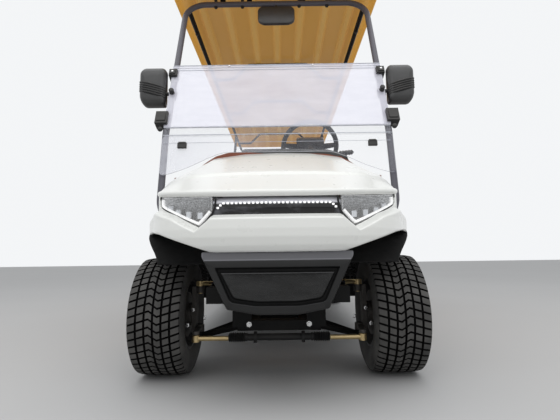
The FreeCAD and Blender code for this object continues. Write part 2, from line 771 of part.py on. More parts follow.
def bar_outline(gap):
    """The gloss strip's outline seen from the front."""
    half = size.lamp_inner - 6 + gap
    return [at(x, -700, z) for x, z in ((-half, 582 - gap), (half, 582 - gap), (half + 2, 645 + gap), (-half - 2, 645 + gap))]


def front_body():
    node(shape("hood", hood()), "hood")
    full, hollow = fascia_outer(), fascia_outer(size.skin)
    skin = full.cut(hollow).cut(under_wing()).cut(over_seam(size.panel_gap))
    deep = Vector(0, 620, 0)
    holes = [extruded(lamp_outline(size.panel_gap, side), deep) for side in (-1, 1)] + [extruded(bar_outline(size.panel_gap), deep)]
    node(shape("fascia", skin.cut(Part.makeCompound(holes)).cut(hoop(size.hoop_radius + 0.3))), "front_fascia")
    shell = full.cut(fascia_outer(size.lamp_deep)).cut(over_seam(size.panel_gap))
    lamps = [shell.common(extruded(lamp_outline(0, side), deep)) for side in (-1, 1)]
    node(shape("lamps", Part.makeCompound(lamps)), "headlamps")
    strip = full.cut(fascia_outer(size.skin + 6)).cut(over_seam(size.panel_gap))
    node(shape("light_bar", strip.common(extruded(bar_outline(0), deep))), "light_bar")


def arch_liners():
    """Dark moulded half hoops under the front wings, just inside the arches that are cut in them."""
    radius, low, high = size.arch_radius - 0.3, size.liner_inner, size.liner_outer
    start = at(low, 0, axle_z)
    ring = Part.makeCylinder(radius, high - low, start, X_AXIS)
    ring = ring.cut(Part.makeCylinder(radius - size.liner_thick, high - low, start, X_AXIS))
    below = across([(-2 * radius, axle_z + radius * 1.6), (0, axle_z), (2 * radius, axle_z + radius * 0.2), (2 * radius, -radius),
                    (-2 * radius, -radius)], 700)
    return node(shape("liners", both(ring.cut(below).common(fascia_outer(1.5)))), "arch_liners")


def bumper():
    """The dark lower insert: a tapered block with a groove round a raised panel."""
    body = doc.addObject("PartDesign::Body", "bumper")
    top, foot = size.bumper_top, size.bumper_foot
    wide, narrow = size.bumper_half_top, size.bumper_half_foot
    edge = [(-wide, top), (-wide, top - 14), (-narrow, foot + 18), (-narrow * 0.4, foot), (narrow * 0.4, foot),
            (narrow, foot + 18), (wide, top - 14), (wide, top)]
    block_of_it = padded(body, sketched(body, "bumper_outline", "XZ_Plane", edge), size.bumper_deep)
    doc.recompute()
    bevel = bound(body.newObject("PartDesign::Chamfer", "bumper_bevel"), Size=size.bumper_bevel)
    bevel.Base = (block_of_it, ["Edge%d" % i for i, line in enumerate(block_of_it.Shape.Edges, 1)
                                if all(v.Z > top - 1 and v.Y < 1 - size.bumper_deep for v in line.Vertexes)])
    groove = size.bumper_groove
    ring = [(-wide + 44, top - 50), (-narrow + 8, foot + 42), (-narrow * 0.36, foot + 26), (narrow * 0.36, foot + 26),
            (narrow - 8, foot + 42), (wide - 44, top - 50)]
    channel = pocketed(body, sketched(body, "bumper_groove", "XZ_Plane", ring, size.bumper_deep), 2 * groove)
    panel = [(x * 0.9, z + (8 if z < 400 else -8)) for x, z in ring]
    raised = padded(body, sketched(body, "bumper_panel", "XZ_Plane", panel, size.bumper_deep - groove - 0.5), groove)
    body.Tip = raised
    body.Placement = Placement(at(0, size.bumper_deep - size.front_overhang, 0), Rotation())
    return node(body, "front_bumper")


bumper()


# Front hoop: one bent tube from the floor's outriggers, over the wheels and up round the glass.
def strut_y(z):
    """Where the hoop's upright part stands at one height."""
    knee_y, knee_z = size.hoop_knee_y, size.hoop_knee_z
    if z < knee_z:
        return knee_y - (knee_z - z) * size.hoop_rake_low
    return knee_y + (z - knee_z) * size.hoop_rake_high


def hoop(radius):
    """The hoop's tube, or with a larger radius the way that other pieces leave for it."""
    inner = size.hoop_half - 30
    half = [at(inner, size.floor_front - 18, cross_z + size.cross_high + 0.3), at(inner, size.floor_front - 18, 596),
            at(inner, 18, 602), at(size.hoop_half, strut_y(690), 690),
            at(size.hoop_half, strut_y(size.hoop_knee_z), size.hoop_knee_z), at(size.hoop_half - 6, strut_y(size.hoop_top), size.hoop_top)]
    mirror = [Vector(-p.x, p.y, p.z) for p in reversed(half)]
    return tube(half + mirror, radius, size.hoop_bend)


node(shape("hoop", hoop(size.hoop_radius)), "front_hoop")
front_body()
arch_liners()


# Glass: two flat acrylic panes in front of the hoop, the upper one hinged to fold down, with its fittings.
def pane(low, high, outline_foot):
    """A pane between two heights, in the plane just ahead of the hoop's tubes, with rounded corners."""
    start, end = at(0, strut_y(low), low), at(0, strut_y(high), high)
    up = (end - start).normalize()
    ahead = up.cross(X_AXIS)
    ahead = ahead if ahead.y < 0 else -ahead
    near = start + ahead * (size.hoop_radius + size.glass_gap)
    long, half, corner = (end - start).Length, size.glass_half, 30.0

    def spot(x, s):
        return near + X_AXIS * x + up * s
    edges = []
    foot = [spot(-half + corner, 0)] + [spot(x, s) for x, s in outline_foot] + [spot(half - corner, 0)]
    edges += [Part.LineSegment(a, b).toShape() for a, b in zip(foot, foot[1:])]
    bend = corner * (1 - math.sqrt(0.5))
    edges.append(Part.Arc(spot(half - corner, 0), spot(half - bend, bend), spot(half, corner)).toShape())
    edges.append(Part.LineSegment(spot(half, corner), spot(half, long)).toShape())
    edges.append(Part.LineSegment(spot(half, long), spot(-half, long)).toShape())
    edges.append(Part.LineSegment(spot(-half, long), spot(-half, corner)).toShape())
    edges.append(Part.Arc(spot(-half, corner), spot(-half + bend, bend), spot(-half + corner, 0)).toShape())
    return Part.Face(Part.Wire(edges)).extrude(ahead * size.glass_thick)


def glass():
    arch = [(-465, 10), (-390, 38), (-300, 80), (-240, 92), (240, 92), (300, 80), (390, 38), (465, 10)]
    node(shape("lower_pane", pane(size.glass_foot, size.glass_hinge - size.glass_step / 2, arch)), "windshield_lower")
    node(shape("upper_pane", pane(size.glass_hinge + size.glass_step / 2, size.glass_top, [])), "windshield_upper")
    strip = across(hinge_outline(), size.glass_half - 1)
    node(shape("glass_hinge", strip), "windshield_hinge")


def slope_frame(z, low, high):
    """The glass's up and ahead directions between two heights, and the hoop's axis at one of them."""
    up = (at(0, strut_y(high), high) - at(0, strut_y(low), low)).normalize()
    ahead = up.cross(X_AXIS)
    ahead = ahead if ahead.y < 0 else -ahead
    return at(0, strut_y(z), z), up, ahead


def hinge_outline():
    """The hinge strip's outline between the panes' facing ends, as (y, z) points."""
    lower_end, upper_end = size.glass_hinge - size.glass_step / 2, size.glass_hinge + size.glass_step / 2
    points = []
    for z, low, high, sign in ((lower_end, size.glass_foot, lower_end, 1), (upper_end, upper_end, size.glass_top, -1)):
        base, up, ahead = slope_frame(z, low, high)
        inner = base + ahead * (size.hoop_radius + size.glass_gap) + up * (0.3 * sign)
        pair = [inner, inner + ahead * size.glass_thick]
        points += pair if sign > 0 else pair[::-1]
    return [(p.y - front_axle_y, p.z) for p in points]


def glass_clips():
    """Moulded blocks that grip the hoop and the panes, with the knobs and catches that hold the panes."""
    tube_way = hoop(size.hoop_radius + 0.3)
    low = size.glass_hinge + size.glass_step / 2
    base, up, ahead = slope_frame(low, low, size.glass_top)
    start = base + ahead * (size.hoop_radius + size.glass_gap - 0.3) - up * 60
    slot = extruded([start - X_AXIS * 600, start + X_AXIS * (size.glass_half + 0.3), start + X_AXIS * (size.glass_half + 0.3) + up * 600,
                     start - X_AXIS * 600 + up * 600], ahead * (size.glass_thick + 0.6))
    pieces = []
    for z, x_low, x_high, high in ((size.clip_z, 488, 527, 44), (1082, 500, 556, 70)):
        middle = at(0, strut_y(z), z)
        corner = middle - up * (high / 2) - ahead * 4
        face = [corner + X_AXIS * x_low, corner + X_AXIS * x_high, corner + X_AXIS * x_high + up * high, corner + X_AXIS * x_low + up * high]
        pieces.append(extruded(face, ahead * (size.hoop_radius + size.glass_gap + size.glass_thick + 12)).cut(tube_way).cut(slot))
    face_out = size.hoop_radius + size.glass_gap + size.glass_thick + 0.3
    knob, up, ahead = slope_frame(size.knob_z, low, size.glass_top)
    seat = knob + ahead * face_out + X_AXIS * (size.glass_half - 15)
    pieces.append(union([Part.makeCylinder(13, 5, seat, ahead), Part.makeCylinder(8, 20, seat, ahead),
                         Part.makeCone(10, 13, 8, seat + ahead * 12, ahead)]))
    catch, up, ahead = slope_frame(size.catch_z, size.glass_foot, size.hoop_knee_z)
    seat = catch + ahead * face_out + X_AXIS * 402 - up * 15
    sides = [(0, 0), (40, 0), (40, 22), (30, 30), (10, 30), (0, 22)]
    pieces.append(extruded([seat + X_AXIS * a + up * b for a, b in sides], ahead * 11))
    return node(shape("clips", both(Part.makeCompound(pieces))), "windshield_clips")


glass()
glass_clips()


# Roof: one moulded tray with a turned-down rim and ribs, on two side tubes and three bent bows.
def roof():
    body = doc.addObject("PartDesign::Body", "roof")
    long = roof_rear_y - size.roof_front
    half = size.roof_half
    edge = [(-half, 0), (half, 0), (half, long), (-half, long)]
    tray = padded(body, sketched(body, "roof_outline", "XY_Plane", edge), size.roof_rim)
    corners = rounded(body, tray, size.roof_corner, lambda e: abs(e.Vertexes[0].Z - e.Vertexes[-1].Z) > 1)
    rim = rounded(body, corners, size.roof_round, lambda e: min(v.Z for v in e.Vertexes) > size.roof_rim - 1)
    doc.recompute()
    under = next("Face%d" % i for i, face in enumerate(rim.Shape.Faces, 1) if face.normalAt(0, 0).z < -0.9)
    hollow = bound(body.newObject("PartDesign::Thickness", "roof_hollow"), Value=size.roof_wall)
    hollow.Base = (rim, [under])
    hollow.Reversed = True
    wall = size.roof_wall
    start = -(size.rib_count - 1) / 2 * size.rib_pitch - size.rib_wide / 2
    doc.recompute()
    rib = [(start, 90), (start + size.rib_wide, 90), (start + size.rib_wide, long - 90), (start, long - 90)]
    bar = padded(body, sketched(body, "roof_rib", "XY_Plane", rib, size.roof_rim - wall - size.rib_high), size.rib_high + 1)
    ribs = body.newObject("PartDesign::LinearPattern", "roof_ribs")
    ribs.Originals = [bar]
    ribs.Direction = (next(item for item in body.Origin.OriginFeatures if item.Role == "X_Axis"), [""])
    bound(ribs, Length=(size.rib_count - 1) * size.rib_pitch, Occurrences=size.rib_count)
    body.Tip = ribs
    body.Placement = Placement(at(0, size.roof_front, size.roof_foot), Rotation())
    return node(body, "roof_panel")


roof()
rib_foot = size.roof_foot + size.roof_rim - size.roof_wall - size.rib_high
cart_rear = size.wheelbase + size.rear_overhang


def roof_frame():
    """Side tubes from the hoop to the tail, bows that rise to the roof's ribs, and tabs on the hoop's cross tube."""
    x, z, radius = size.side_tube_x, size.side_tube_z, size.side_tube
    pieces = [tube([at(side * x, strut_y(z), z), at(side * x, roof_rear_y - 90, z)], radius) for side in (-1, 1)]
    rise = rib_foot - 0.3 - (radius - 2) - z
    for y in (size.bow_front, size.bow_middle, bow_rear_y):
        half = [(x, 0), (size.bow_flat, 0), (size.bow_flat - rise, rise)]
        points = [at(a, y, z + b) for a, b in half] + [at(-a, y, z + b) for a, b in reversed(half)]
        pieces.append(tube(points, radius - 2, 40))
    frame = union(pieces).cut(hoop(size.hoop_radius + 0.3))
    y, foot = strut_y(size.hoop_top), size.hoop_top + size.hoop_radius + 0.3
    tabs = [block(at(n * size.rib_pitch - 14, y - 12, foot), at(n * size.rib_pitch + 14, y + 12, rib_foot - 0.3))
            for n in (-2, -1, 1, 2)]
    return node(shape("roof_frame", Part.makeCompound([frame] + tabs)), "roof_frame")


def rear_posts():
    top = size.side_tube_z - size.side_tube - 0.3
    post = tube([at(size.rear_post_x, rear_post_foot_y, size.rear_deck + 0.3), at(size.side_tube_x, rear_post_top_y, top)],
                size.side_tube + 1)
    low, high, wide = rear_post_foot_y - 200, rear_post_top_y + 200, size.rear_post_x + 350
    cap = across([(low, 0), (high, 0), (high, size.rear_deck + 0.3), (low, size.rear_deck + 0.3)], wide)
    cover = across([(low, top), (high, top), (high, top + 90), (low, top + 90)], wide)
    return node(shape("posts", both(post.cut(cap).cut(cover))), "rear_posts")


roof_frame()
rear_posts()


# Mirrors: a housing on a bracket from each side of the hoop, and one under the middle of its cross tube.
def side_mirror():
    """A rounded housing on an arm and a clamp round the hoop's tube."""
    z, y = size.mirror_z, strut_y(size.mirror_z)
    half, high, deep, x = size.mirror_wide / 2, size.mirror_high / 2, size.mirror_deep, size.mirror_x
    ring = [at(x - half + 14, y, z - high), at(x + half - 26, y, z - high), at(x + half - 4, y, z - high + 26),
            at(x + half, y, z + high - 30), at(x + half - 26, y, z + high), at(x - half + 12, y, z + high),
            at(x - half, y, z + high - 14), at(x - half, y, z - high + 16)]
    arm = tube([at(size.hoop_half, y, z - 30), at(x, y, z - 30)], 9)
    clamp = block(at(size.hoop_half - 4, y - 22, z - 52), at(size.hoop_half + size.hoop_radius + 8, y + 22, z - 8))
    return union([extruded(ring, Vector(0, -deep, 0)), arm, clamp]).cut(hoop(size.hoop_radius + 0.3))


def cabin_mirror():
    """A wide mirror on a stem that hangs from the hoop's cross tube."""
    y, z = strut_y(size.hoop_top), size.hoop_top
    stem = block(at(-8, y - 6, z - 60), at(8, y + 6, z - size.hoop_radius - 0.3))
    half, low, high = size.cabin_mirror / 2, z - 124, z - 20
    ring = [at(-half + 8, y, low + 10), at(-half + 40, y, low), at(half - 40, y, low), at(half - 8, y, low + 10),
            at(half, y, high - 14), at(half - 14, y, high), at(-half + 14, y, high), at(-half, y, high - 14)]
    return union([stem, extruded([p - Vector(0, 10, 0) for p in ring], Vector(0, 26, 0))])


wing_mirror = side_mirror()
node(shape("mirrors", Part.makeCompound([wing_mirror, wing_mirror.mirror(Vector(0, 0, 0), X_AXIS), cabin_mirror()])), "mirrors")


# Dash and steering column.
def dash():
    """The brown dash: it follows the hood's rear edge a little higher, with a ledge under the wheel."""
    y = size.hood_rear + 0.3
    crest = [(size.dash_half, 826), (446, 835), (300, 885), (190, 935)]
    right = [at(x, y, z) for x, z in crest]
    edge = [Part.LineSegment(a, b).toShape() for a, b in zip(right, right[1:])]
    left = [Vector(-p.x, p.y, p.z) for p in reversed(right)]
    edge.append(Part.Arc(right[-1], at(0, y, 948), left[0]).toShape())
    loop = left + [at(-size.dash_half, y, 640), at(size.dash_half, y, 640), right[0]]
    edge += [Part.LineSegment(a, b).toShape() for a, b in zip(loop, loop[1:])]
    solid = Part.Face(Part.Wire(edge)).extrude(Vector(0, size.dash_deep, 0))
    hooded = across([(y + 40, 900), (y + 60, 962), (y + 150, 984), (y + 176, 968), (y + 160, 900)], 130, size.column_x)
    solid = solid.fuse(hooded)
    knees = across([(y + 70, 600), (y + size.dash_deep + 138, 600), (y + size.dash_deep + 138, 860), (y + size.dash_deep - 40, 760), (y + 70, 720)], 800)
    return solid.cut(knees)


def column_point(along):
    """A point on the steering axis, measured from the wheel's hub towards the dash."""
    lean = math.radians(size.column_angle)
    return at(size.column_x, size.wheel_y - along * math.cos(lean), size.wheel_z - along * math.sin(lean))


column_way = column_point(0) - column_point(1)
dash_solid = dash()
shaft = Part.makeCylinder(size.column_radius, size.column_long, column_point(size.column_long + size.hub_deep + 0.3), column_way)
node(shape("dash", dash_solid.cut(Part.makeCylinder(size.column_radius + 0.3, 1200, column_point(1000), column_way))), "dashboard")


def column():
    shroud = Part.makeCone(size.column_radius + 22, size.column_radius + 10, 150, column_point(225), column_way)
    lever = tube([column_point(150), column_point(150) + Vector(150, 30, 20)], 7)
    return node(shape("column", union([shaft, shroud, lever])), "steering_column")


def steering_wheel():
    """A round rim on three spokes with a domed hub, on the end of the column."""
    lean = math.radians(size.column_angle)
    pieces = [Part.makeTorus(size.wheel_rim, size.wheel_grip), Part.makeCylinder(size.hub_radius, size.hub_deep + 10, Vector(0, 0, -size.hub_deep))]
    for turn in (0, 180, 270):
        spoke = Part.makeBox(size.wheel_rim - 30, 30, 10, Vector(30, -15, -8))
        spoke.rotate(Vector(0, 0, 0), Z_AXIS, turn)
        pieces.append(spoke)
    wheel = union(pieces)
    wheel.Placement = Placement(column_point(0), Rotation(X_AXIS, -90 + size.column_angle))
    return node(shape("wheel", wheel), "steering_wheel")


def pedals():
    """Two pads on arms that stand out from the sloping toe board."""
    steep = Vector(0, 126, -190).normalize()
    out = Vector(0, 190, 126).normalize()
    top = Vector(0, front_axle_y + size.floor_front + 24, floor_top + 190)
    pieces = []
    for x, wide in ((size.column_x - 70, size.pedal_wide), (size.column_x + 70, size.pedal_wide - 8)):
        def spot(along, off):
            return Vector(x - wide / 2, 0, 0) + top + steep * along + out * off
        pad = extruded([spot(50, 52), spot(150, 60), spot(150, 68), spot(50, 60)], Vector(wide, 0, 0))
        arm = extruded([p + Vector(wide / 2 - 10, 0, 0) for p in (spot(150, 0.3), spot(178, 0.3), spot(140, 62), spot(118, 60))],
                       Vector(20, 0, 0))
        pieces.append(union([pad, arm]))
    return node(shape("foot_pedals", Part.makeCompound(pieces)), "pedals")


column()
steering_wheel()
pedals()


# Benches: moulded pods on the floor and the rear body, padded cushions and backs on tube frames.
def upright_edges(solid):
    return [edge for edge in solid.Edges if abs(edge.Vertexes[0].Z - edge.Vertexes[-1].Z) > 1]


def pod(name, front, deep, foot, top, extras=()):
    """A hollow moulded box with round corners, open underneath."""
    half, wall = size.pod_half, size.skin
    outer = block(at(-half, front, foot), at(half, front + deep, top))
    inner = block(at(-half + wall, front + wall, foot - 1), at(half - wall, front + deep - wall, top - wall))
    outer = outer.makeFillet(size.pod_round, upright_edges(outer))
    inner = inner.makeFillet(size.pod_round - wall, upright_edges(inner))
    shell = outer.cut(inner)
    return node(shape(name, union([shell] + list(extras)) if extras else shell), name)


hinge_y = front_seat_y + 14
board_foot = size.seat_top - size.seat_thick - 0.3 - size.seat_board
hinge_z = board_foot - size.hinge_drop


def hinge_lugs():
    """Pairs of lugs on the front pod, each pair with the pin that the lifting seat turns on."""
    lugs = []
    for side in (-1, 1):
        x = side * size.hinge_x
        for sign in (-1, 1):
            low, high = sorted((x + sign * (size.hinge_half + size.face_gap), x + sign * (size.hinge_half + 13)))
            lugs.append(Part.makeCylinder(size.hinge_eye, high - low, at(low, hinge_y, hinge_z), X_AXIS))
            lugs.append(block(at(low, hinge_y, hinge_z - size.hinge_eye), at(high, front_seat_y + 31, hinge_z + size.hinge_eye)))
        lugs.append(Part.makeCylinder(size.hinge_pin, 2 * size.hinge_half + 4, at(x - size.hinge_half - 2, hinge_y, hinge_z), X_AXIS))
    return lugs


def seat_board():
    """The board that carries the front cushion, with a bored knuckle for each hinge pin."""
    half = size.pod_half
    low, high = board_foot, board_foot + size.seat_board
    pieces = [block(at(-half, front_seat_y + 4, low), at(half, front_seat_y + size.seat_deep - 10, high))]
    for side in (-1, 1):
        x = side * size.hinge_x - size.hinge_half
        pieces.append(Part.makeCylinder(size.hinge_eye, 2 * size.hinge_half, at(x, hinge_y, hinge_z), X_AXIS))
        pieces.append(block(at(x, hinge_y - size.hinge_eye, hinge_z), at(x + 2 * size.hinge_half, hinge_y + size.hinge_eye, low + 1)))
    bores = [Part.makeCylinder(size.hinge_pin + size.pin_gap, 2 * size.hinge_half + 2,
                               at(side * size.hinge_x - size.hinge_half - 1, hinge_y, hinge_z), X_AXIS) for side in (-1, 1)]
    return node(shape("seat_board", union(pieces).cut(Part.makeCompound(bores))), "front_seat_board")


def cushion(name, front, facing, foot=0):
    """A plain rounded pad; its look is made where the part is dressed."""
    body = doc.addObject("PartDesign::Body", name)
    half, deep = size.seat_half, size.seat_deep
    low, high = (0, deep) if facing > 0 else (-deep, 0)
    edge = [(-half, low), (half, low), (half, high), (-half, high)]
    pad = padded(body, sketched(body, name + "_outline", "XY_Plane", edge), size.seat_thick)
    rounded(body, pad, size.seat_round, lambda e: True)
    body.Placement = Placement(at(0, front, size.seat_top - size.seat_thick), Rotation())
    return node(body, name)


def backrest(name, foot_y, facing):
    """A pad that leans back from the bench it belongs to."""
    body = doc.addObject("PartDesign::Body", name)
    half, thick = size.seat_half, size.back_thick
    edge = [(-half, 0), (half, 0), (half, size.back_high), (-half, size.back_high)]
    pad = padded(body, sketched(body, name + "_outline", "XZ_Plane", edge), thick)
    rounded(body, pad, size.seat_round, lambda e: True)
    lean = Rotation(X_AXIS, -facing * size.back_lean)
    turn = Rotation(Z_AXIS, 0 if facing > 0 else 180)
    body.Placement = Placement(at(0, foot_y, size.back_foot), lean.multiply(turn))
    return node(body, name)


def back_frame(foot_y, facing, foot_z, arm_z):
    """A bent tube behind each back, with a hip rail that comes forward and down at each end."""
    lean = math.tan(math.radians(size.back_lean)) * facing
    x, y = size.seat_half - 100, foot_y + facing * (size.back_tube + 0.3)
    top_z = size.back_foot + size.back_high * 0.8
    points = [at(x, y, foot_z + 0.3), at(x, y, size.back_foot - 20), at(x, y + (top_z - size.back_foot) * lean, top_z)]
    mirror = [Vector(-p.x, p.y, p.z) for p in reversed(points)]
    pieces = [mitred(points + mirror, size.back_tube, 28)]
    side_x = size.seat_half + 20
    rail_y = y + (size.arm_high - size.back_foot) * lean
    front_y = y - facing * (size.seat_deep - 60)
    for side in (-1, 1):
        pieces.append(mitred([at(side * x, rail_y, size.arm_high), at(side * side_x, rail_y, size.arm_high),
                              at(side * side_x, front_y, size.arm_high), at(side * side_x, front_y, arm_z + 0.3)],
                             size.back_tube, 24))
    return union(pieces)


pod("front_seat_pod", front_seat_y + 30, size.pod_deep, floor_top + 0.3, board_foot - 0.3, hinge_lugs())
seat_board()
pod("rear_seat_pod", rear_body_front_y + 10, rear_seat_y - rear_body_front_y - 50, size.rear_deck + 0.3,
    size.seat_top - size.seat_thick - 0.3)
cushion("front_seat_cushion", front_seat_y, 1)
cushion("middle_seat_cushion", middle_seat_y, 1)
cushion("rear_seat_cushion", rear_seat_y, -1)
front_back = front_seat_y + size.seat_deep + 90
middle_back = middle_seat_y + size.seat_deep + 90
rear_back = rear_seat_y - size.seat_deep - 90
pod_top = size.seat_top - size.seat_thick
backrest("front_backrest", front_back, 1)
backrest("middle_backrest", middle_back, 1)
backrest("rear_backrest", rear_back, -1)
node(shape("back_frames", Part.makeCompound([back_frame(front_back, 1, floor_top, floor_top),
                                             back_frame(middle_back, 1, pod_top - 0.3, size.rear_deck),
                                             back_frame(rear_back, -1, pod_top - 0.3, size.rear_deck)])), "seat_frames")


# Rear body: a wide shell over the rear wheels with its arches, and the folding footrest's platform behind.
def rear_body():
    front, rear, top, half, wall = (rear_body_front_y, rear_body_rear_y, size.rear_deck, size.rear_body_half, size.skin)
    foot = size.rail_bottom - 40
    outer = across([(front, foot), (front, top), (rear - 30, top), (rear, top - 60), (rear - 40, foot + 60), (rear - 60, foot)], half)
    inner = across([(front + wall, foot - 1), (front + wall, top - wall), (rear - 30 - wall, top - wall),
                    (rear - wall, top - 60), (rear - 40 - wall, foot + 60), (rear - 60 - wall, foot - 1)], half - wall)
    outer, inner = [solid.makeFillet(radius, [edge for edge in solid.Edges if min(v.Z for v in edge.Vertexes) > limit
                                              and min(abs(v.X) for v in edge.Vertexes) > half - wall - 1
                                              and abs(edge.Vertexes[0].X - edge.Vertexes[-1].X) < 1])
                    for solid, radius, limit in ((outer, size.body_round, top - 1), (inner, size.body_round - wall, top - wall - 1))]
    arch = Part.makeCylinder(size.rear_arch_radius, 1400, at(-700, size.wheelbase, axle_z), X_AXIS)
    rails = [block(at(side * size.rail_spacing / 2 - 30, front - 20, size.rail_bottom - 60),
                   at(side * size.rail_spacing / 2 + 30, rear + 20, size.rail_bottom + size.rail_high + 5)) for side in (-1, 1)]
    return node(shape("rear_body", outer.cut(inner).cut(arch).cut(Part.makeCompound(rails))), "rear_body")


def tail_lamps():
    """A flat lamp on each side of the rear body's sloping back."""
    rear, top, foot = rear_body_rear_y, size.rear_deck - 60, size.rail_bottom + 20
    slope = 40 / (top - foot)
    outline = [(rear - (top - z) * slope + out, z) for z, out in ((top - 12, 0.3), (top - 18, 16), (top - 92, 14), (top - 98, 0.3))]
    lamp = across(outline, size.tail_lamp_wide / 2, size.tail_lamp_x)
    return node(shape("rear_lamps", both(lamp)), "tail_lamps")


def footrest():
    """A ribbed platform on the chassis's rear ends, with a grab bar for the people on the rear bench."""
    front = cart_rear - size.footrest_long
    z, half = size.footrest_z, size.footrest_half
    plate = across([(front, z), (cart_rear, z), (cart_rear, z + 30), (front, z + 30)], half)
    for number in range(5):
        y = front + 50 + number * 70
        plate = plate.fuse(across([(y, z + 29), (y + 30, z + 29), (y + 26, z + 36), (y + 4, z + 36)], half - 40))
    slot = block(at(-rail_outer - 1, front - 10, z - 40), at(rail_outer + 1, rail_rear_y + 0.5, z + 60))
    x, top, y = size.grab_half, size.grab_top, cart_rear - 70
    bar = tube([at(-x, y, z + 8), at(-x, y - 50, top), at(x, y - 50, top), at(x, y, z + 8)], 12, 50)
    return node(shape("footrest", plate.cut(slot).fuse(bar)), "rear_footrest")


rear_body()
tail_lamps()
footrest()


# Wheels: a tyre on a rim with a spoked disc, four alike. Each is drawn about its own axis, outer side +X.
def tyre(name, centre, side):
    body = doc.addObject("PartDesign::Body", name)
    half, tread = size.tyre_width / 2, size.tread_width / 2
    rim = size.rim_width / 2 - size.rim_wall - 2
    flank = size.tyre_radius - size.shoulder_drop * 3
    bead = size.bead_radius + 0.3
    outline = [(-rim, bead), (rim, bead), (rim, size.rim_lip + 2), (half, size.sidewall_radius - 22),
               (half, size.sidewall_radius + 16), (tread + 6, flank), (tread - 6, size.tyre_radius),
               (-tread + 6, size.tyre_radius), (-tread - 6, flank), (-half, size.sidewall_radius + 16),
               (-half, size.sidewall_radius - 22), (-rim, size.rim_lip + 2)]
    revolved(body, sketched(body, name + "_section", "XZ_Plane", outline))
    body.Placement = Placement(centre, Rotation())
    return node(body, name)


def rim(name, centre, side):
    body = doc.addObject("PartDesign::Body", name)
    half = size.rim_width / 2
    inner = size.bead_radius - size.rim_wall
    seat = size.bead_radius
    well = size.rim_drop
    section = [(-half, size.rim_lip), (-half + size.rim_wall, size.rim_lip), (-half + size.rim_wall, seat),
               (-30, seat), (-18, well + size.rim_wall), (22, well + size.rim_wall), (34, seat),
               (half - size.rim_wall, seat), (half - size.rim_wall, size.rim_lip), (half, size.rim_lip),
               (half, inner), (32, inner), (20, well), (-16, well), (-28, inner), (-half, inner)]
    revolved(body, sketched(body, name + "_barrel", "XZ_Plane", section))
    face = half - size.disc_inset
    back, plate = face - size.disc_thick, hub_seat + 1
    disc = [(plate - 16, size.hub_bore), (plate, size.hub_bore), (plate, 0), (plate + 12, 0),
            (plate + 12, size.hub_cap_radius - 8), (plate + 6, size.hub_cap_radius), (plate, size.hub_cap_radius),
            (plate, size.stud_circle + 12), (face, size.stud_circle + 20), (face - 6, inner + 1), (back - 6, inner + 1),
            (back, size.stud_circle + 20), (plate - 16, size.stud_circle + 12)]
    revolved(body, sketched(body, name + "_disc", "XZ_Plane", disc))
    spread = math.radians(size.spoke_window_angle) / 2
    low, high = size.spoke_window_inner, size.spoke_window_outer
    window = [(low * math.cos(spread * 0.55), low * math.sin(-spread * 0.55)),
              (high * math.cos(spread), high * math.sin(-spread)),
              (high * math.cos(spread), high * math.sin(spread)),
              (low * math.cos(spread * 0.55), low * math.sin(spread * 0.55))]
    opening = pocketed(body, sketched(body, name + "_window", "YZ_Plane", window), size.rim_width)
    ring = body.newObject("PartDesign::PolarPattern", name + "_windows")
    ring.Originals = [opening]
    ring.Axis = (next(item for item in body.Origin.OriginFeatures if item.Role == "X_Axis"), [""])
    ring.Angle = 360
    bound(ring, Occurrences=size.spoke_count)
    body.Tip = ring
    body.Placement = Placement(centre, Rotation(Z_AXIS, 0 if side > 0 else 180))
    return node(body, name)


WHEELS = [  # name, side, y of the axle, track
    ("front_left", -1, front_axle_y, size.front_track), ("front_right", 1, front_axle_y, size.front_track),
    ("rear_left", -1, rear_axle_y, size.rear_track), ("rear_right", 1, rear_axle_y, size.rear_track)]
for place, side, axle_y, track in WHEELS:
    centre = Vector(side * track / 2, axle_y, size.tyre_radius)
    tyre("tyre_" + place, centre, side)
    rim("rim_" + place, centre, side)


doc.recompute()
for thing in doc.Objects:
    if "Invalid" in thing.State or "Error" in thing.State:
        raise RuntimeError("%s is %s" % (thing.Label, thing.State))
os.makedirs("parts", exist_ok=True)
for thing in nodes:
    if thing.Shape.isNull() or not thing.Shape.isValid():
        raise RuntimeError(thing.Label + " has no valid shape")
    thing.Shape.exportStep("parts/%s.step" % thing.Label)
    print("%-28s %9.1f cm3  %d solids" % (thing.Label, thing.Shape.Volume / 1000, len(thing.Shape.Solids)))
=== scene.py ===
import math

import bpy
import numpy as np
from mathutils import Matrix


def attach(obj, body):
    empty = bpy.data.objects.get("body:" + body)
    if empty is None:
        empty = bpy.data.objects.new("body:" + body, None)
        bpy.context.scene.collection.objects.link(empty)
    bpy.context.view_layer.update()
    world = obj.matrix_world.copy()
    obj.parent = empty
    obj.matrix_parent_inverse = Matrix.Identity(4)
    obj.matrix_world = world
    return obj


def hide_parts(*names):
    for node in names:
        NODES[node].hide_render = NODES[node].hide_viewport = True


# Six-seat electric golf cart. Metres, +Z up; the front faces -Y and +X is the driver's side.
# Below, a length "from the axle" is measured rearwards from the front axle.
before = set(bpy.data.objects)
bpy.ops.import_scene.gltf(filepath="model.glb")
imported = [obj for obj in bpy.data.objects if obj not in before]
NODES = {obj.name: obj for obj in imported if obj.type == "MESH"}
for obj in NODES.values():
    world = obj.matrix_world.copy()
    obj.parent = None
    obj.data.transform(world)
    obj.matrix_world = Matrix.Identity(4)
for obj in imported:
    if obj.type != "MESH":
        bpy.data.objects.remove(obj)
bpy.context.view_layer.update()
AXLE = -1.49
scene = bpy.context.scene


# Stage: a plain pale floor, an open pale sky that lights the cart softly from all round, and one broad
# overhead light. The camera stands low in front of the cart, a little left of its middle.
SENSOR = 36
CAMERA = {"place": (0.014, AXLE - 1.65, 0.45), "focal": 396 / 560 * SENSOR, "pitch": 6.9, "yaw": 0.2,
          "roll": -0.76}


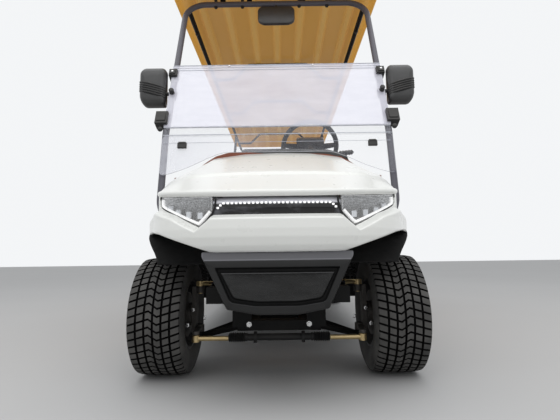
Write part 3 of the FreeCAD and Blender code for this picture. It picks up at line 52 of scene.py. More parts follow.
class Wire:
    """A socket's value in a node tree: arithmetic on it adds the Math nodes that work it out."""

    def __init__(self, tree, socket):
        self.tree, self.socket = tree, socket

    def math(self, operation, *others, swapped=False):
        node = self.tree.nodes.new("ShaderNodeMath")
        node.operation = operation
        values = (*others, self) if swapped else (self, *others)
        for slot, value in zip(node.inputs, values):
            plug(self.tree, slot, value)
        return Wire(self.tree, node.outputs[0])

    def __add__(self, other):
        return self.math("ADD", other)

    def __radd__(self, other):
        return self.math("ADD", other, swapped=True)

    def __sub__(self, other):
        return self.math("SUBTRACT", other)

    def __rsub__(self, other):
        return self.math("SUBTRACT", other, swapped=True)

    def __mul__(self, other):
        return self.math("MULTIPLY", other)

    def __rmul__(self, other):
        return self.math("MULTIPLY", other, swapped=True)

    def clamped(self):
        return self.math("MAXIMUM", 0.0).math("MINIMUM", 1.0)


def plug(tree, slot, value):
    """Sets a socket to a number or colour, or links a wire to it."""
    if isinstance(value, Wire):
        tree.links.new(value.socket, slot)
    else:
        slot.default_value = value


class Finish:
    """A procedural material: one shader and the nodes that feed it."""

    def __init__(self, name, **settings):
        self.material = bpy.data.materials.new(name)
        self.material.use_nodes = True
        self.tree = self.material.node_tree
        self.shader = self.tree.nodes["Principled BSDF"]
        self.place = Wire(self.tree, self.tree.nodes.new("ShaderNodeTexCoord").outputs["Object"])
        self.set(**settings)

    def add(self, kind, settings=None, out=0, **values):
        """Adds any other node: its settings first, then the values or links of its sockets."""
        node = self.tree.nodes.new("ShaderNode" + kind)
        for key, value in (settings or {}).items():
            setattr(node, key, value)
        for slot, value in values.items():
            plug(self.tree, node.inputs[slot.replace("_", " ")], value)
        return Wire(self.tree, node.outputs[out])

    def mix(self, share, first, second):
        """A blend of two colours."""
        node = self.tree.nodes.new("ShaderNodeMix")
        node.data_type = "RGBA"
        for slot, value in ((0, share), (6, first), (7, second)):
            plug(self.tree, node.inputs[slot], value)
        return Wire(self.tree, node.outputs[2])

    def noise(self, scale, detail=3.0, stretch=(1, 1, 1)):
        """Clouds of a size given in blobs a metre."""
        place = self.place
        if stretch != (1, 1, 1):
            place = self.add("Mapping", Vector=place, Scale=stretch)
        return self.add("TexNoise", Vector=place, Scale=scale, Detail=detail)

    def part(self, axis):
        """One coordinate of the place on the piece."""
        return self.add("SeparateXYZ", out="XYZ".index(axis), Vector=self.place)

    def bump(self, height, depth, strength=1.0):
        """Relief of a depth in metres."""
        plug(self.tree, self.shader.inputs["Normal"],
             self.add("Bump", Height=height, Distance=depth, Strength=strength))

    def set(self, **values):
        for slot, value in values.items():
            plug(self.tree, self.shader.inputs[slot.replace("_", " ")], value)


def grey(value):
    return (value, value, value, 1)


camera = bpy.data.objects.new("camera", bpy.data.cameras.new("camera"))
scene.collection.objects.link(camera)
camera.data.lens = CAMERA["focal"]
camera.data.sensor_width = SENSOR
turn = Matrix.Rotation(math.radians(CAMERA["yaw"]), 4,
                       "Z") @ Matrix.Rotation(math.radians(90 + CAMERA["pitch"]), 4, "X")
camera.matrix_world = (Matrix.Translation(CAMERA["place"]) @ turn
                       @ Matrix.Rotation(math.radians(CAMERA["roll"]), 4, "Z"))
scene.camera = camera
scene.view_settings.view_transform = "Standard"

sky = bpy.data.worlds.new("sky")
scene.world = sky
sky.use_nodes = True
tree = sky.node_tree
back = tree.nodes["Background"]
path = tree.nodes.new("ShaderNodeLightPath")
seen = Wire(tree, path.outputs["Is Camera Ray"]) + Wire(tree, path.outputs["Is Glossy Ray"]) \
    + Wire(tree, path.outputs["Is Transmission Ray"])
height = tree.nodes.new("ShaderNodeSeparateXYZ")
tree.links.new(tree.nodes.new("ShaderNodeTexCoord").outputs["Generated"], height.inputs[0])
upward = (Wire(tree, height.outputs[2]) * 6 + 0.5).clamped()
lit = 0.3 + 0.4 * upward
back.inputs["Color"].default_value = (0.97, 0.985, 1, 1)
plug(tree, back.inputs["Strength"], lit + (0.93 - lit) * seen.clamped())

lamp = bpy.data.lights.new("overhead", "AREA")
lamp.energy, lamp.size, lamp.size_y, lamp.shape = 132, 6, 6, "RECTANGLE"
overhead = bpy.data.objects.new("overhead", lamp)
overhead.location = (0, AXLE - 1.2, 4.2)
overhead.rotation_euler = (math.radians(18), 0, 0)
scene.collection.objects.link(overhead)


def mesh_piece(name, points, faces, finishes, sharp=35, material_of=None):
    """A piece from its points and faces, smooth but for edges sharper than an angle."""
    mesh = bpy.data.meshes.new(name)
    mesh.from_pydata(np.asarray(points, float).reshape(-1, 3).tolist(), [], [list(f) for f in faces])
    mesh.validate()
    for finish in finishes if isinstance(finishes, (list, tuple)) else [finishes]:
        mesh.materials.append(finish.material)
    if material_of is not None:
        mesh.polygons.foreach_set("material_index", np.asarray(material_of, np.int32))
    mesh.polygons.foreach_set("use_smooth", np.ones(len(mesh.polygons), bool))
    mesh.set_sharp_from_angle(angle=math.radians(sharp))
    piece = bpy.data.objects.new(name, mesh)
    scene.collection.objects.link(piece)
    return piece


def grid_faces(rows, columns, around=False, along=False):
    """Quads of a grid of points; around closes the columns and along closes the rows."""
    i, j = np.meshgrid(np.arange(rows if along else rows - 1), np.arange(columns if around else columns - 1),
                       indexing="ij")
    a = i * columns + j
    b = i * columns + (j + 1) % columns
    c = ((i + 1) % rows) * columns + (j + 1) % columns
    d = ((i + 1) % rows) * columns + j
    return np.stack([a, b, c, d], -1).reshape(-1, 4).tolist()


def turned(faces, wanted=True):
    """The same faces, looking the other way."""
    return [f[::-1] for f in faces] if wanted else faces


floor_finish = Finish("floor_paint", Roughness=0.9, Specular_IOR_Level=0.2)
floor_finish.set(Base_Color=floor_finish.mix(floor_finish.noise(0.6), grey(0.5), grey(0.54)))
floor = mesh_piece("floor", [(-30, -30, 0), (30, -30, 0), (30, 30, 0), (-30, 30, 0)], [(0, 1, 2, 3)],
                   floor_finish)


# Chassis, axles and suspension: welded and bent steel under a black powder coat with a fine orange-peel
# skin, dust on what faces up, and yellow zinc on the links. Their solids carry the shape.
def powder(name, colour, rough, dust, grain=500, shine=0.28):
    """Powder coat: fine orange peel, a broken dust film on upward faces and slightly worn shine."""
    coat = Finish(name, Specular_IOR_Level=shine)
    facing = coat.add("NewGeometry", out="Normal")
    up = coat.add("SeparateXYZ", out=2, Vector=facing)
    film = (up * 0.6 + coat.noise(9, 6) * 1.2 - 0.55).clamped() * dust * 4
    coat.set(Base_Color=coat.mix(film.clamped() * 0.5, colour, (0.32, 0.3, 0.27, 1)),
             Roughness=rough + coat.noise(30, 4) * 0.22 - 0.08 + film * 0.25)
    coat.bump(coat.noise(grain, 2), 0.00025, 0.5)
    return coat


def dress(finish, *names):
    """Gives CAD nodes a material in place of the one that they came with."""
    for name in names:
        NODES[name].data.materials.clear()
        NODES[name].data.materials.append(finish.material)


def mottled(name, clouds, colours, rough, grain=None, **settings):
    """A finish whose colour runs between two in clouds of a (scale, detail). Its roughness is rough's first
    number plus its second times finer clouds. Grain is the relief's scale, detail, depth and strength."""
    finish = Finish(name, **settings)
    finish.set(Base_Color=finish.mix(finish.noise(*clouds), *colours),
               Roughness=rough[0] + finish.noise(*rough[2:]) * rough[1])
    if grain:
        finish.bump(finish.noise(*grain[:2]), *grain[2:])
    return finish


frame_coat = powder("black_powder_coat", grey(0.008), 0.45, 0.02, shine=0.1)
zinc = mottled("yellow_zinc", (40, 5), ((0.5, 0.36, 0.15, 1), (0.62, 0.5, 0.3, 1)), (0.3, 0.25, 90, 4),
               (300, 3, 0.0002, 0.4), Metallic=0.85)
casting = mottled("cast_steel", (60, 5), ((0.045, 0.043, 0.04, 1), (0.13, 0.12, 0.11, 1)),
                  (0.45, 0.3, 120, 4), (220, 4, 0.0006, 0.6), Metallic=0.55)
dress(frame_coat, "chassis_frame", "front_beam", "spring_brackets", "lower_arms", "rear_axle", "leaf_springs",
      "tow_eye", "rack_housing", "roof_frame", "rear_posts", "seat_frames", "battery_pack")
dress(zinc, "upper_arms", "steering_rack")
dress(casting, "upright_left", "upright_right")


# Wheels: steel-belted tyres on cast alloy rims. Six rows of tread blocks stand between five grooves, and
# slanting cross grooves part them. Dust lies on the tread; the rims are held by four nuts round a cap.
def at(x, y, z):
    """Points from arrays of x, y rearwards of the front axle, and z."""
    return np.stack(np.broadcast_arrays(x, np.asarray(y, float) + AXLE, z), -1)


def through(points, count):
    """Points evenly spread along a smooth curve through the given ones: on each span a cubic whose end
    slopes are half the step between the neighbours on either side."""
    p = np.asarray(points, float)
    padded = np.vstack([2 * p[0] - p[1], p, 2 * p[-1] - p[-2]])
    before, start, end, after = (padded[k:len(p) - 1 + k, None, :] for k in range(4))
    t = np.linspace(0, 1, 24, endpoint=False)[None, :, None]
    curve = (start + t * (end - before) / 2 + t ** 2 * (before - 2.5 * start + 2 * end - after / 2)
             + t ** 3 * (1.5 * (start - end) + (after - before) / 2)).reshape(-1, p.shape[1])
    curve = np.vstack([curve, p[-1:]])
    along = np.concatenate([[0], np.cumsum(np.linalg.norm(np.diff(curve, axis=0), axis=1))])
    stops = np.linspace(0, along[-1], count)
    return np.stack([np.interp(stops, along, curve[:, k]) for k in range(p.shape[1])], -1)


def eased(value, low, high):
    """A smooth step from 0 at low to 1 at high: 3s^2 - 2s^3 of the share s between them."""
    s = np.clip((np.asarray(value, float) - low) / (high - low), 0, 1)
    return s * s * (3 - 2 * s)


def fit(piece, body, slot, *nodes):
    """Ties a piece to the body that it moves with and hides the CAD nodes that it stands for. Its slot is not
    used.
    """
    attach(piece, body)
    if nodes:
        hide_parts(*nodes)
    return piece


rubber = Finish("tyre_rubber", Specular_IOR_Level=0.35)
dusty = (rubber.noise(14, 6) * 1.3 - 0.15).clamped()
rubber.set(Base_Color=rubber.mix(dusty * 0.8, grey(0.016), (0.15, 0.145, 0.137, 1)), Roughness=0.58
           + dusty * 0.3)
# The groove faces take a near-black rubber: painted shade in the grooves.
groove_shade_rubber = mottled("tyre_grooves_painted_shade", (30, 4), (grey(0.002), grey(0.008)), (0.8, 0.15, 90),
                        Specular_IOR_Level=0.1)
rubber.bump(rubber.noise(700, 3) + rubber.noise(90, 3) * 0.5, 0.0003, 0.6)

TYRE_SIDE = [(0.0825, 0.13), (0.087, 0.1335), (0.0905, 0.14), (0.0945, 0.148), (0.0985, 0.16),
             (0.1012, 0.174),
             (0.1016, 0.188), (0.1, 0.2), (0.0962, 0.2115), (0.0925, 0.219)]
PITCHES, BLOCK_WIDE, GROOVE_DEEP = 52, 0.03, 0.0092
CROWN = 0.2285


def tyre_mesh(centre, side):
    """The tread is a cylinder of radius R - (x / 0.094)^4 / 150, lowered where a groove runs. The rows of
    points lean with the cross grooves: with u = x over the width of a block, they fall by 9 mm a block
    from each shoulder and rise by 20 mm over the middle one."""
    flank = through(TYRE_SIDE, 26)
    ribs = 0.0011 * (np.exp(-((flank[:, 1] - 0.15) / 0.0012) ** 2)
                     + np.exp(-((flank[:, 1] - 0.2) / 0.001) ** 2))
    flank = flank + np.stack([ribs, 0 * ribs], -1)
    cuts = np.arange(-2, 3) * BLOCK_WIDE
    lips = (cuts[:, None] + [-0.004, -0.0031, 0.0031, 0.004]).reshape(-1)
    middles = np.arange(-3, 3) * BLOCK_WIDE + 0.5 * BLOCK_WIDE
    x = np.sort(np.concatenate([[-0.0905, -0.089, 0.089, 0.0905], lips, middles]))
    u = x / BLOCK_WIDE
    near = np.min(np.abs(x[:, None] - cuts[None, :]), axis=1)
    lowered = (near < 0.0035).astype(float)
    shift = np.where(np.abs(u) < 0.5, -0.02 * u, 0.009 * (u - np.sign(u) * 0.5) - 0.01 * np.sign(u)) / CROWN
    radius = CROWN - (np.abs(x) / 0.094) ** 4 / 150
    xs = np.concatenate([-flank[:, 0], x, flank[::-1, 0]])
    radii = np.concatenate([flank[:, 1], radius, flank[::-1, 1]])
    shifts = np.concatenate([np.full(len(flank), shift[0]), shift, np.full(len(flank), shift[-1])])
    low_col = np.concatenate([np.zeros(len(flank)), lowered, np.zeros(len(flank))])
    on_tread = np.concatenate([np.zeros(len(flank)), np.ones(len(x)), np.zeros(len(flank))])
    share = np.array([0, 0.26, 0.5, 0.73, 0.77, 0.96])
    low_row = np.tile(np.array([0, 0, 0, 0, 1.0, 1.0]), PITCHES)
    turn = ((np.arange(PITCHES)[:, None] + share[None, :]) * 2 * math.pi / PITCHES).reshape(-1)
    deep = np.maximum(low_row[:, None] * on_tread[None, :], low_col[None, :]) * GROOVE_DEEP
    shoulder = low_row[:, None] * np.exp(-((radii[None, :] - 0.2185)
                                           / 0.006) ** 2) * (1 - on_tread[None, :]) * 0.003
    r = radii[None, :] - deep - shoulder
    angle = turn[:, None] + shifts[None, :]
    points = np.stack([centre[0] + side * np.broadcast_to(xs, r.shape), centre[1] + r * np.cos(angle),
                       centre[2] + r * np.sin(angle)], -1)
    faces = grid_faces(len(turn), len(xs), along=True)
    low = (deep > 0) | (np.roll(deep, -1, axis=0) > 0)
    in_groove = (low[:, :-1] | low[:, 1:]).astype(int).reshape(-1)
    return points, turned(faces, side > 0), in_groove


def spun(profile, centre, side, count, closed=False):
    """A surface of revolution about the wheel's own axis: each (x, r) of the profile goes round a circle."""
    profile = np.asarray(profile, float)
    turn = np.linspace(0, 2 * math.pi, count, endpoint=False)
    x = np.broadcast_to(profile[:, 0], (count, len(profile)))
    r = np.broadcast_to(profile[:, 1], (count, len(profile)))
    points = np.stack([centre[0] + side * x, centre[1] + r * np.cos(turn)[:, None],
                       centre[2] + r * np.sin(turn)[:, None]], -1)
    faces = grid_faces(count, len(profile), around=closed, along=True)
    return points.reshape(-1, 3), turned(faces, side > 0)


def joined(parts):
    """One list of points and faces from several."""
    points, faces, count = [], [], 0
    for some_points, some_faces in parts:
        some_points = np.asarray(some_points, float).reshape(-1, 3)
        faces += [tuple(i + count for i in f) for f in some_faces]
        points.append(some_points)
        count += len(some_points)
    return np.vstack(points), faces


alloy = mottled("machined_alloy", (30, 4), (grey(0.5), grey(0.6)), (0.24, 0.16, 60, 4),
                (1400, 1, 0.00005, 0.4), Metallic=0.9)
alloy_dark = powder("painted_alloy", grey(0.05), 0.35, 0.06)

BARREL = [(-0.088, 0.1336), (-0.0862, 0.134), (-0.0842, 0.133), (-0.0836, 0.1282), (-0.03, 0.1276),
          (-0.018, 0.109),
          (0.022, 0.109), (0.034, 0.1276), (0.0836, 0.1282), (0.0842, 0.133), (0.0862, 0.134),
          (0.088, 0.1336),
          (0.0876, 0.1245), (0.034, 0.1238), (0.022, 0.1065), (-0.017, 0.1065), (-0.029, 0.1238),
          (-0.0876, 0.1245)]
HUB = [(0.03, 0.0000), (0.062, 0.0000), (0.0618, 0.02), (0.06, 0.0262), (0.0565, 0.0285), (0.054, 0.029),
       (0.053, 0.03), (0.053, 0.05), (0.05, 0.056), (0.033, 0.06), (0.03, 0.056)]
SPOKES, NUTS = 6, 4


def tube_faces(rows, count):
    """Quads between closed outlines, and a cap on the first and the last of them."""
    last = (rows - 1) * count
    return grid_faces(rows, count, around=True) + [list(range(count))[::-1], list(range(last, last + count))]


def spokes(centre, side):
    """Each spoke is a closed tube of eight sides from hub to rim: its width is 44 mm at both ends and 27 in
    the middle, and its face bows outwards."""
    t = np.linspace(0, 1, 14)[:, None]
    corners = np.array([(-1, 0.8), (-0.72, 1), (0.72, 1), (1, 0.8), (1, -0.8), (0.8, -1), (-0.8, -1),
                        (-1, -0.8)])
    radius = 0.045 + 0.068 * t
    wide = (0.013 + 0.019 * (2 * t - 1) ** 2 * (0.6 + 0.4 * t)) * corners[None, :, 0]
    face = 0.05 + 0.008 * np.sin(math.pi * t) - 0.001 * t + 0.006 * t ** 3
    x = face - 0.008 + 0.008 * corners[None, :, 1]
    x = np.broadcast_to(x.reshape(14, 8), (14, 8))
    wide = wide.reshape(14, 8)
    ring = []
    for k in range(SPOKES):
        a = 2 * math.pi * (k + 0.5) / SPOKES
        y = radius * math.cos(a) - wide * math.sin(a)
        z = radius * math.sin(a) + wide * math.cos(a)
        points = np.stack([centre[0] + side * x, centre[1] + y, centre[2] + z], -1).reshape(-1, 3)
        ring.append((points, turned(tube_faces(14, 8), side < 0)))
    return joined(ring)


def wheel_nuts(centre, side):
    """Hexagonal nuts with domed ends on an 82 mm circle: each is a spun profile of six sides."""
    parts = []
    profile = [(0.05, 0.0), (0.0725, 0.0), (0.072, 0.005), (0.0695, 0.0075), (0.067, 0.0088), (0.056, 0.0088),
               (0.0545, 0.0115),
               (0.052, 0.0115)]
    for k in range(NUTS):
        a = 2 * math.pi * (k + 0.25) / NUTS
        spot = (centre[0], centre[1] + 0.041 * math.cos(a), centre[2] + 0.041 * math.sin(a))
        parts.append(spun(profile, spot, side, 6))
    return joined(parts)


chrome = Finish("bright_nuts", Metallic=1.0, Base_Color=grey(0.62))
chrome.set(Roughness=0.18 + chrome.noise(200, 3) * 0.15)
FRONT_HALF, REAR_HALF, WHEELBASE = 0.445, 0.4925, 2.42
for place, side, half, axle in (("front_left", -1, FRONT_HALF, 0.0), ("front_right", 1, FRONT_HALF, 0.0),
                                ("rear_left", -1, REAR_HALF, WHEELBASE),
                                ("rear_right", 1, REAR_HALF, WHEELBASE)):
    wheel, tyre, rim = "wheel_" + place, "tyre_" + place, "rim_" + place
    centre = (side * half, AXLE + axle, CROWN)
    points, faces, in_groove = tyre_mesh(centre, side)
    fit(mesh_piece(tyre + "_rubber", points, faces, [rubber, groove_shade_rubber], 28, in_groove), wheel, "tyre",
        tyre)
    fit(mesh_piece(rim + "_barrel", *spun(BARREL, centre, side, 96, True), alloy_dark, 30), wheel, "alloy",
        rim)
    face = joined([spun(HUB, centre, side, 64), spokes(centre, side)])
    fit(mesh_piece(rim + "_face", *face, alloy, 35), wheel, "alloy")
    fit(mesh_piece(rim + "_nuts", *wheel_nuts(centre, side), chrome, 40), wheel, "bare_steel")


# Front bodywork: a short hood over a fascia that runs round into the front wings, vacuum formed in glossy
# off-white plastic about 3 mm thick, with turned-in edges. The hood's lip shows a dark joint below it.
white = mottled("white_body_plastic", (5, 5), ((0.8, 0.806, 0.775, 1), (0.835, 0.842, 0.812, 1)),
                (0.24, 0.1, 25, 5), Coat_Weight=0.18, Coat_Roughness=0.04, IOR=1.48)
seal = mottled("black_rubber_seal", (60, 4), (grey(0.012), grey(0.028)), (0.6, 0.2, 200, 3),
               (900, 2, 0.0002, 0.5), Specular_IOR_Level=0.3)

# The seam under the hood in plan, from the nose round one side to the rear of the wing.
PLAN = [(0, -0.436), (0.1, -0.434), (0.2, -0.424), (0.29, -0.39), (0.36, -0.335), (0.41, -0.26),
        (0.445, -0.17),
        (0.47, -0.05), (0.485, 0.08), (0.492, 0.25), (0.492, 0.372)]
plan = through(PLAN, 900)
plan[0, 0] = 0
plan_reach = np.concatenate([[0], np.cumsum(np.linalg.norm(np.diff(plan, axis=0), axis=1))])
REAR_EDGE, HALF_REAR = 0.118, 0.49


def seam_z(y):
    """Height of the seam, which climbs a little rearwards."""
    return 0.65 + 0.16 * (y + 0.436)


def on_plan(reach):
    """Place and outward direction on the plan outline, at a length along it, mirrored for negative ones."""
    length, hand = np.abs(reach), np.where(np.asarray(reach) < 0, -1, 1)
    x, y = (np.interp(length, plan_reach, plan[:, k]) for k in (0, 1))
    slope = np.gradient(plan, plan_reach, axis=0)
    tx, ty = (np.interp(length, plan_reach, slope[:, k]) for k in (0, 1))
    size = np.hypot(tx, ty)
    return hand * x, y, hand * ty / size, -tx / size


def reach_of(x=None, y=None):
    """Length along the outline to where it has an x, or on its side a y."""
    return float(np.interp(x, plan[:, 0], plan_reach) if y is None else np.interp(y, plan[:, 1], plan_reach))


def hood_mesh():
    """Lines run rearwards from the seam's outline to the rear edge, a share s of the half width across and
    t along. Height is that of the seam, a rolled lip and g(t) of the way up to the rear edge's own profile,
    where g is steeper over the first quarter. A panel in the middle stands 6.5 mm proud."""
    s = np.sort(np.concatenate([np.linspace(-1, 1, 141),
                                np.array([0.565, 0.575, 0.585, 0.595, -0.565, -0.575, -0.585, -0.595])]))
    last = reach_of(y=REAR_EDGE)
    x0, y0, nx, ny = on_plan(np.sign(s) * np.abs(s) ** 1.6 * last)
    share = [0, 0.3, 0.547, 0.62, 0.68, 0.76, 0.91, 0.965, 0.99, 1]
    rear = np.interp(np.abs(s), share, [0.918, 0.914, 0.898, 0.889, 0.874, 0.848, 0.821, 0.809, 0.78, 0.741])
    kernel = np.exp(-np.linspace(-2, 2, 9) ** 2)
    rear = np.convolve(np.pad(rear, 4, mode="edge"), kernel / kernel.sum(), mode="valid")
    roll = np.array([(-0.01, -0.005), (0.0, -0.0055), (0.0038, -0.003), (0.0056, 0.0005), (0.0056, 0.004),
                     (0.004, 0.0072), (0.0005, 0.0096), (-0.006, 0.0125)])
    t = np.concatenate([np.linspace(0.01, 0.2, 12), np.linspace(0.208, 0.25, 9), np.linspace(0.27, 1, 30)])
    g = np.interp(t, [0, 0.22, 0.25, 1], [0, 0.285, 0.318, 1])
    lip_x, lip_y = x0[None] + roll[:, :1] * nx[None], y0[None] + roll[:, :1] * ny[None]
    lip_z = seam_z(y0)[None] + roll[:, 1:]
    end_x, end_y = HALF_REAR * s, np.full_like(s, REAR_EDGE)
    x = lip_x[-1] + (end_x - lip_x[-1]) * t[:, None]
    y = lip_y[-1] + (end_y - lip_y[-1]) * t[:, None]
    side = np.abs(s)[None, :]
    swell = 0.01 * np.sin(math.pi * t[:, None]) * eased(side, 0.5, 0.95)
    middle = 0.0065 * (1 - eased(side, 0.555 + 0.03 * t[:, None],
                                 0.585 + 0.03 * t[:, None])) * eased(t[:, None], 0.21, 0.235)
    z = lip_z[-1] + (np.maximum(rear, lip_z[-1]) - lip_z[-1]) * g[:, None] + swell + middle
    rim = np.stack([x[-1], y[-1] + 0.0015, z[-1] - 0.012], -1)
    grid = np.concatenate([np.stack([lip_x, lip_y, lip_z], -1), np.stack([x, y, z], -1), rim[None]])
    return at(grid[..., 0], grid[..., 1], grid[..., 2]), grid_faces(len(grid), len(s))


def walled(piece, thick):
    """Gives a surface its wall, inwards."""
    wall = piece.modifiers.new("wall", "SOLIDIFY")
    wall.thickness, wall.offset, wall.use_rim = thick, -1, True
    return piece


SKIN = 0.003
points, faces = hood_mesh()
fit(walled(mesh_piece("hood_skin", points, turned(faces), white, 32), SKIN), "chassis", "body_white", "hood")


def fascia_mesh():
    """Columns along the outline and rows from its upper to its lower edge. Each point stands off the outline
    by B(u) e(z) P(z): e steps in over 16 mm below the shoulder line, and P is the belly under it."""
    lamp = reach_of(x=0.42)
    marks = [(0, 0.582), (reach_of(x=0.197), 0.582), (reach_of(x=0.205), 0.578), (reach_of(x=0.243), 0.5425),
             (reach_of(x=0.33), 0.589), (reach_of(x=0.417), 0.6335), (lamp, 0.64),
             (lamp + 0.006, seam_z(-0.24) - 0.001)]
    rear, wing = reach_of(y=REAR_EDGE), reach_of(y=0.372)
    marks += [(rear, seam_z(REAR_EDGE) - 0.001), (wing, 0.622)]
    shelf = [(0, 0.577), (marks[1][0], 0.577), (marks[3][0], 0.537), (marks[4][0], 0.584),
             (lamp - 0.02, 0.617), (lamp + 0.03, 0.614),
             (rear, 0.612), (wing, 0.605)]
    stand = [(0, 0.03), (reach_of(x=0.36), 0.03), (reach_of(y=-0.21), 0.022), (reach_of(y=-0.15), 0.03),
             (reach_of(y=-0.08), 0.041),
             (rear, 0.038), (wing, 0.036)]
    half = np.unique(np.concatenate([np.linspace(0, wing, 130), [m[0] for m in marks],
                                     np.linspace(lamp - 0.004, lamp + 0.012, 9)]))
    u = np.concatenate([-half[:0:-1], half])
    a = np.abs(u)
    top, ledge, proud = (np.interp(a, *zip(*marks)), np.interp(a, *zip(*shelf)), np.interp(a, *zip(*stand)))
    x, y, nx, ny = on_plan(u)
    arch = CROWN + np.sqrt(np.maximum(0.33 ** 2 - y ** 2, 0))
    low = np.interp(np.abs(x), [0, 0.2, 0.285, 0.37, 0.45, 0.47],
                    [0.4735, 0.474, 0.505, 0.537, 0.553, 0.5585])
    low = np.where(y > -0.05, arch, np.minimum(low, np.where(y > -0.2, np.maximum(arch, 0.55), 1)))
    low = np.where(y > 0.3285, 0.252, low)
    v = np.concatenate([np.linspace(0, 0.3, 20), np.linspace(0.32, 1, 30)])[:, None]
    z = top + (low - top) * v
    front = 1 - eased(a, lamp - 0.05, lamp + 0.1)
    belly = front * np.interp(z, [0.474, 0.49, 0.515, 0.54, 0.58], [0.47, 0.76, 0.98, 1, 0.84]) \
        + (1 - front) * np.interp(z, [0.25, 0.5, 0.57, 0.61], [0.8, 0.9, 1, 1])
    off = proud * eased(ledge + 0.007 - z, 0, 0.016 + 0.012 * (1 - front)) * belly
    rows = [np.stack([off[0] - 0.014, top - 0.001], -1), np.stack([off[0] - 0.001, top + 0.0004], -1)]
    rows += [np.stack([off[k], z[k]], -1) for k in range(len(v))]
    rows += [np.stack([off[-1] - 0.0022, z[-1] - 0.0022], -1),
             np.stack([off[-1] - 0.006, z[-1] - 0.0012], -1),
             np.stack([off[-1] - 0.02, z[-1] + 0.004], -1)]
    rows = np.array(rows)
    return at(x + nx * rows[..., 0], y + ny * rows[..., 0], rows[..., 1]), grid_faces(len(rows), len(u))


fit(walled(mesh_piece("front_fascia_skin", *fascia_mesh(), white, 40), SKIN), "chassis", "body_white",
    "front_fascia")

joint_u = np.linspace(-reach_of(y=REAR_EDGE), reach_of(y=REAR_EDGE), 160)
jx, jy, jnx, jny = on_plan(joint_u)
joint_rows = np.array([(-0.012, 0.000), (-0.0035, 0.000), (-0.0035, -0.0062), (-0.012, -0.0062)])
points = at(jx + joint_rows[:, :1] * jnx, jy + joint_rows[:, :1] * jny, seam_z(jy) + joint_rows[:, 1:])
fit(mesh_piece("hood_seal", points, grid_faces(4, 160), seal, 30), "chassis", "black_moulding")


# Headlamps and light strip: a dark moulded bowl behind a clear cover, with three square projector modules
# over an L of white light guide. A gloss black strip between the lamps holds a row of small diodes.
LAMP_LOW = [(0.2, 0.594), (0.23, 0.553), (0.243, 0.544), (0.33, 0.591), (0.412, 0.632), (0.42, 0.64)]
LAMP_HIGH = [(0.2, 0.6475), (0.29, 0.6515), (0.33, 0.655), (0.37, 0.6625), (0.4, 0.6705), (0.416, 0.6745),
             (0.42, 0.668)]
GUIDE = [(0.402, 0.658), (0.401, 0.642), (0.393, 0.631), (0.345, 0.605), (0.256, 0.564), (0.246, 0.563),
         (0.232, 0.575),
         (0.21, 0.5985)]
MODULES = [(0.362, 0.619), (0.327, 0.601), (0.286, 0.592), (0.246, 0.587)]


def plan_y(x):
    return np.interp(np.abs(x), plan[:, 0], plan[:, 1])


def lamp_grid(side, depth):
    """Columns run up the lamp's outline from its low to its high edge. A point lies behind the body's
    outline by a depth given for its share of the width and of the height."""
    h, v = np.linspace(0, 1, 44), np.linspace(0, 1, 26)[:, None]
    x = 0.2 + 0.22 * h
    low, high = np.interp(x, *zip(*LAMP_LOW)), np.interp(x, *zip(*LAMP_HIGH))
    z = low + (high - low) * v
    y = plan_y(x) + depth(np.broadcast_to(h, z.shape), np.broadcast_to(v, z.shape))
    return at(side * x, y, z).reshape(-1, 3), turned(grid_faces(26, 44), side < 0)


def box_faces(points):
    """Six quads on eight corners, the four low ones first."""
    faces = [(3, 2, 1, 0), (4, 5, 6, 7), (0, 1, 5, 4), (1, 2, 6, 5), (2, 3, 7, 6), (3, 0, 4, 7)]
    return np.asarray(points, float), faces


def blocks(spots):
    """Upright blocks, each from (x, y, z) of its middle and its half sizes."""
    corner = np.array([(-1, -1, -1), (1, -1, -1), (1, 1, -1), (-1, 1, -1), (-1, -1, 1), (1, -1, 1), (1, 1, 1),
                       (-1, 1, 1)])
    return joined([box_faces(at(x + corner[:, 0] * a, y + corner[:, 1] * b, z + corner[:, 2] * c))
                   for x, y, z, a, b, c in spots])


def bevelled(piece, width, segments=2):
    edge = piece.modifiers.new("bevel", "BEVEL")
    edge.width, edge.segments, edge.limit_method = width, segments, "ANGLE"
    return piece


def domed(h, v, power):
    """1 over the middle of the lamp, falling to 0 along its outline."""
    return 1 - np.maximum(np.abs(2 * h - 1), np.abs(2 * v - 1)) ** power


# Above 588 mm the bowl is painted pale grey in facets: painted reflections on the dark bowl.
bowl_black = Finish("lamp_bowl", Specular_IOR_Level=0.6)
ribbing = bowl_black.part("Z").math("MULTIPLY", 900).math("SINE")
facet_reflections = (bowl_black.add("TexVoronoi", Vector=bowl_black.place, Scale=120.0) * 0.9 + 0.22).clamped()
upper = ((bowl_black.part("Z") - 0.588) * 20).clamped()
bowl_black.set(Base_Color=bowl_black.mix(facet_reflections * upper, grey(0.018), (0.62, 0.64, 0.67, 1)), Roughness=0.2
               + bowl_black.noise(90) * 0.15,
               Metallic=0.35)
bowl_black.bump(ribbing, 0.0012, 0.6)
lens = Finish("clear_lamp_cover", Roughness=0.03, Alpha=0.15, Coat_Roughness=0.02)
lens.set(Base_Color=lens.mix(lens.noise(20), grey(0.75), grey(0.85)), Coat_Weight=0.8)
guide_white = mottled("white_light_guide", (90,), (grey(0.86), grey(0.93)), (0.2, 0.1, 60),
                      Emission_Color=grey(0.9), Emission_Strength=0.55)
# The lenses' pale colour, lighter in rings, is painted reflection.
module_glass = Finish("projector_lens", Coat_Weight=0.6)
ring_highlights = module_glass.noise(60, 3)
module_glass.set(Base_Color=module_glass.mix(ring_highlights, (0.62, 0.66, 0.72, 1), (0.88, 0.9, 0.94, 1)),
                 Roughness=0.12 + ring_highlights * 0.08, Metallic=0.2)


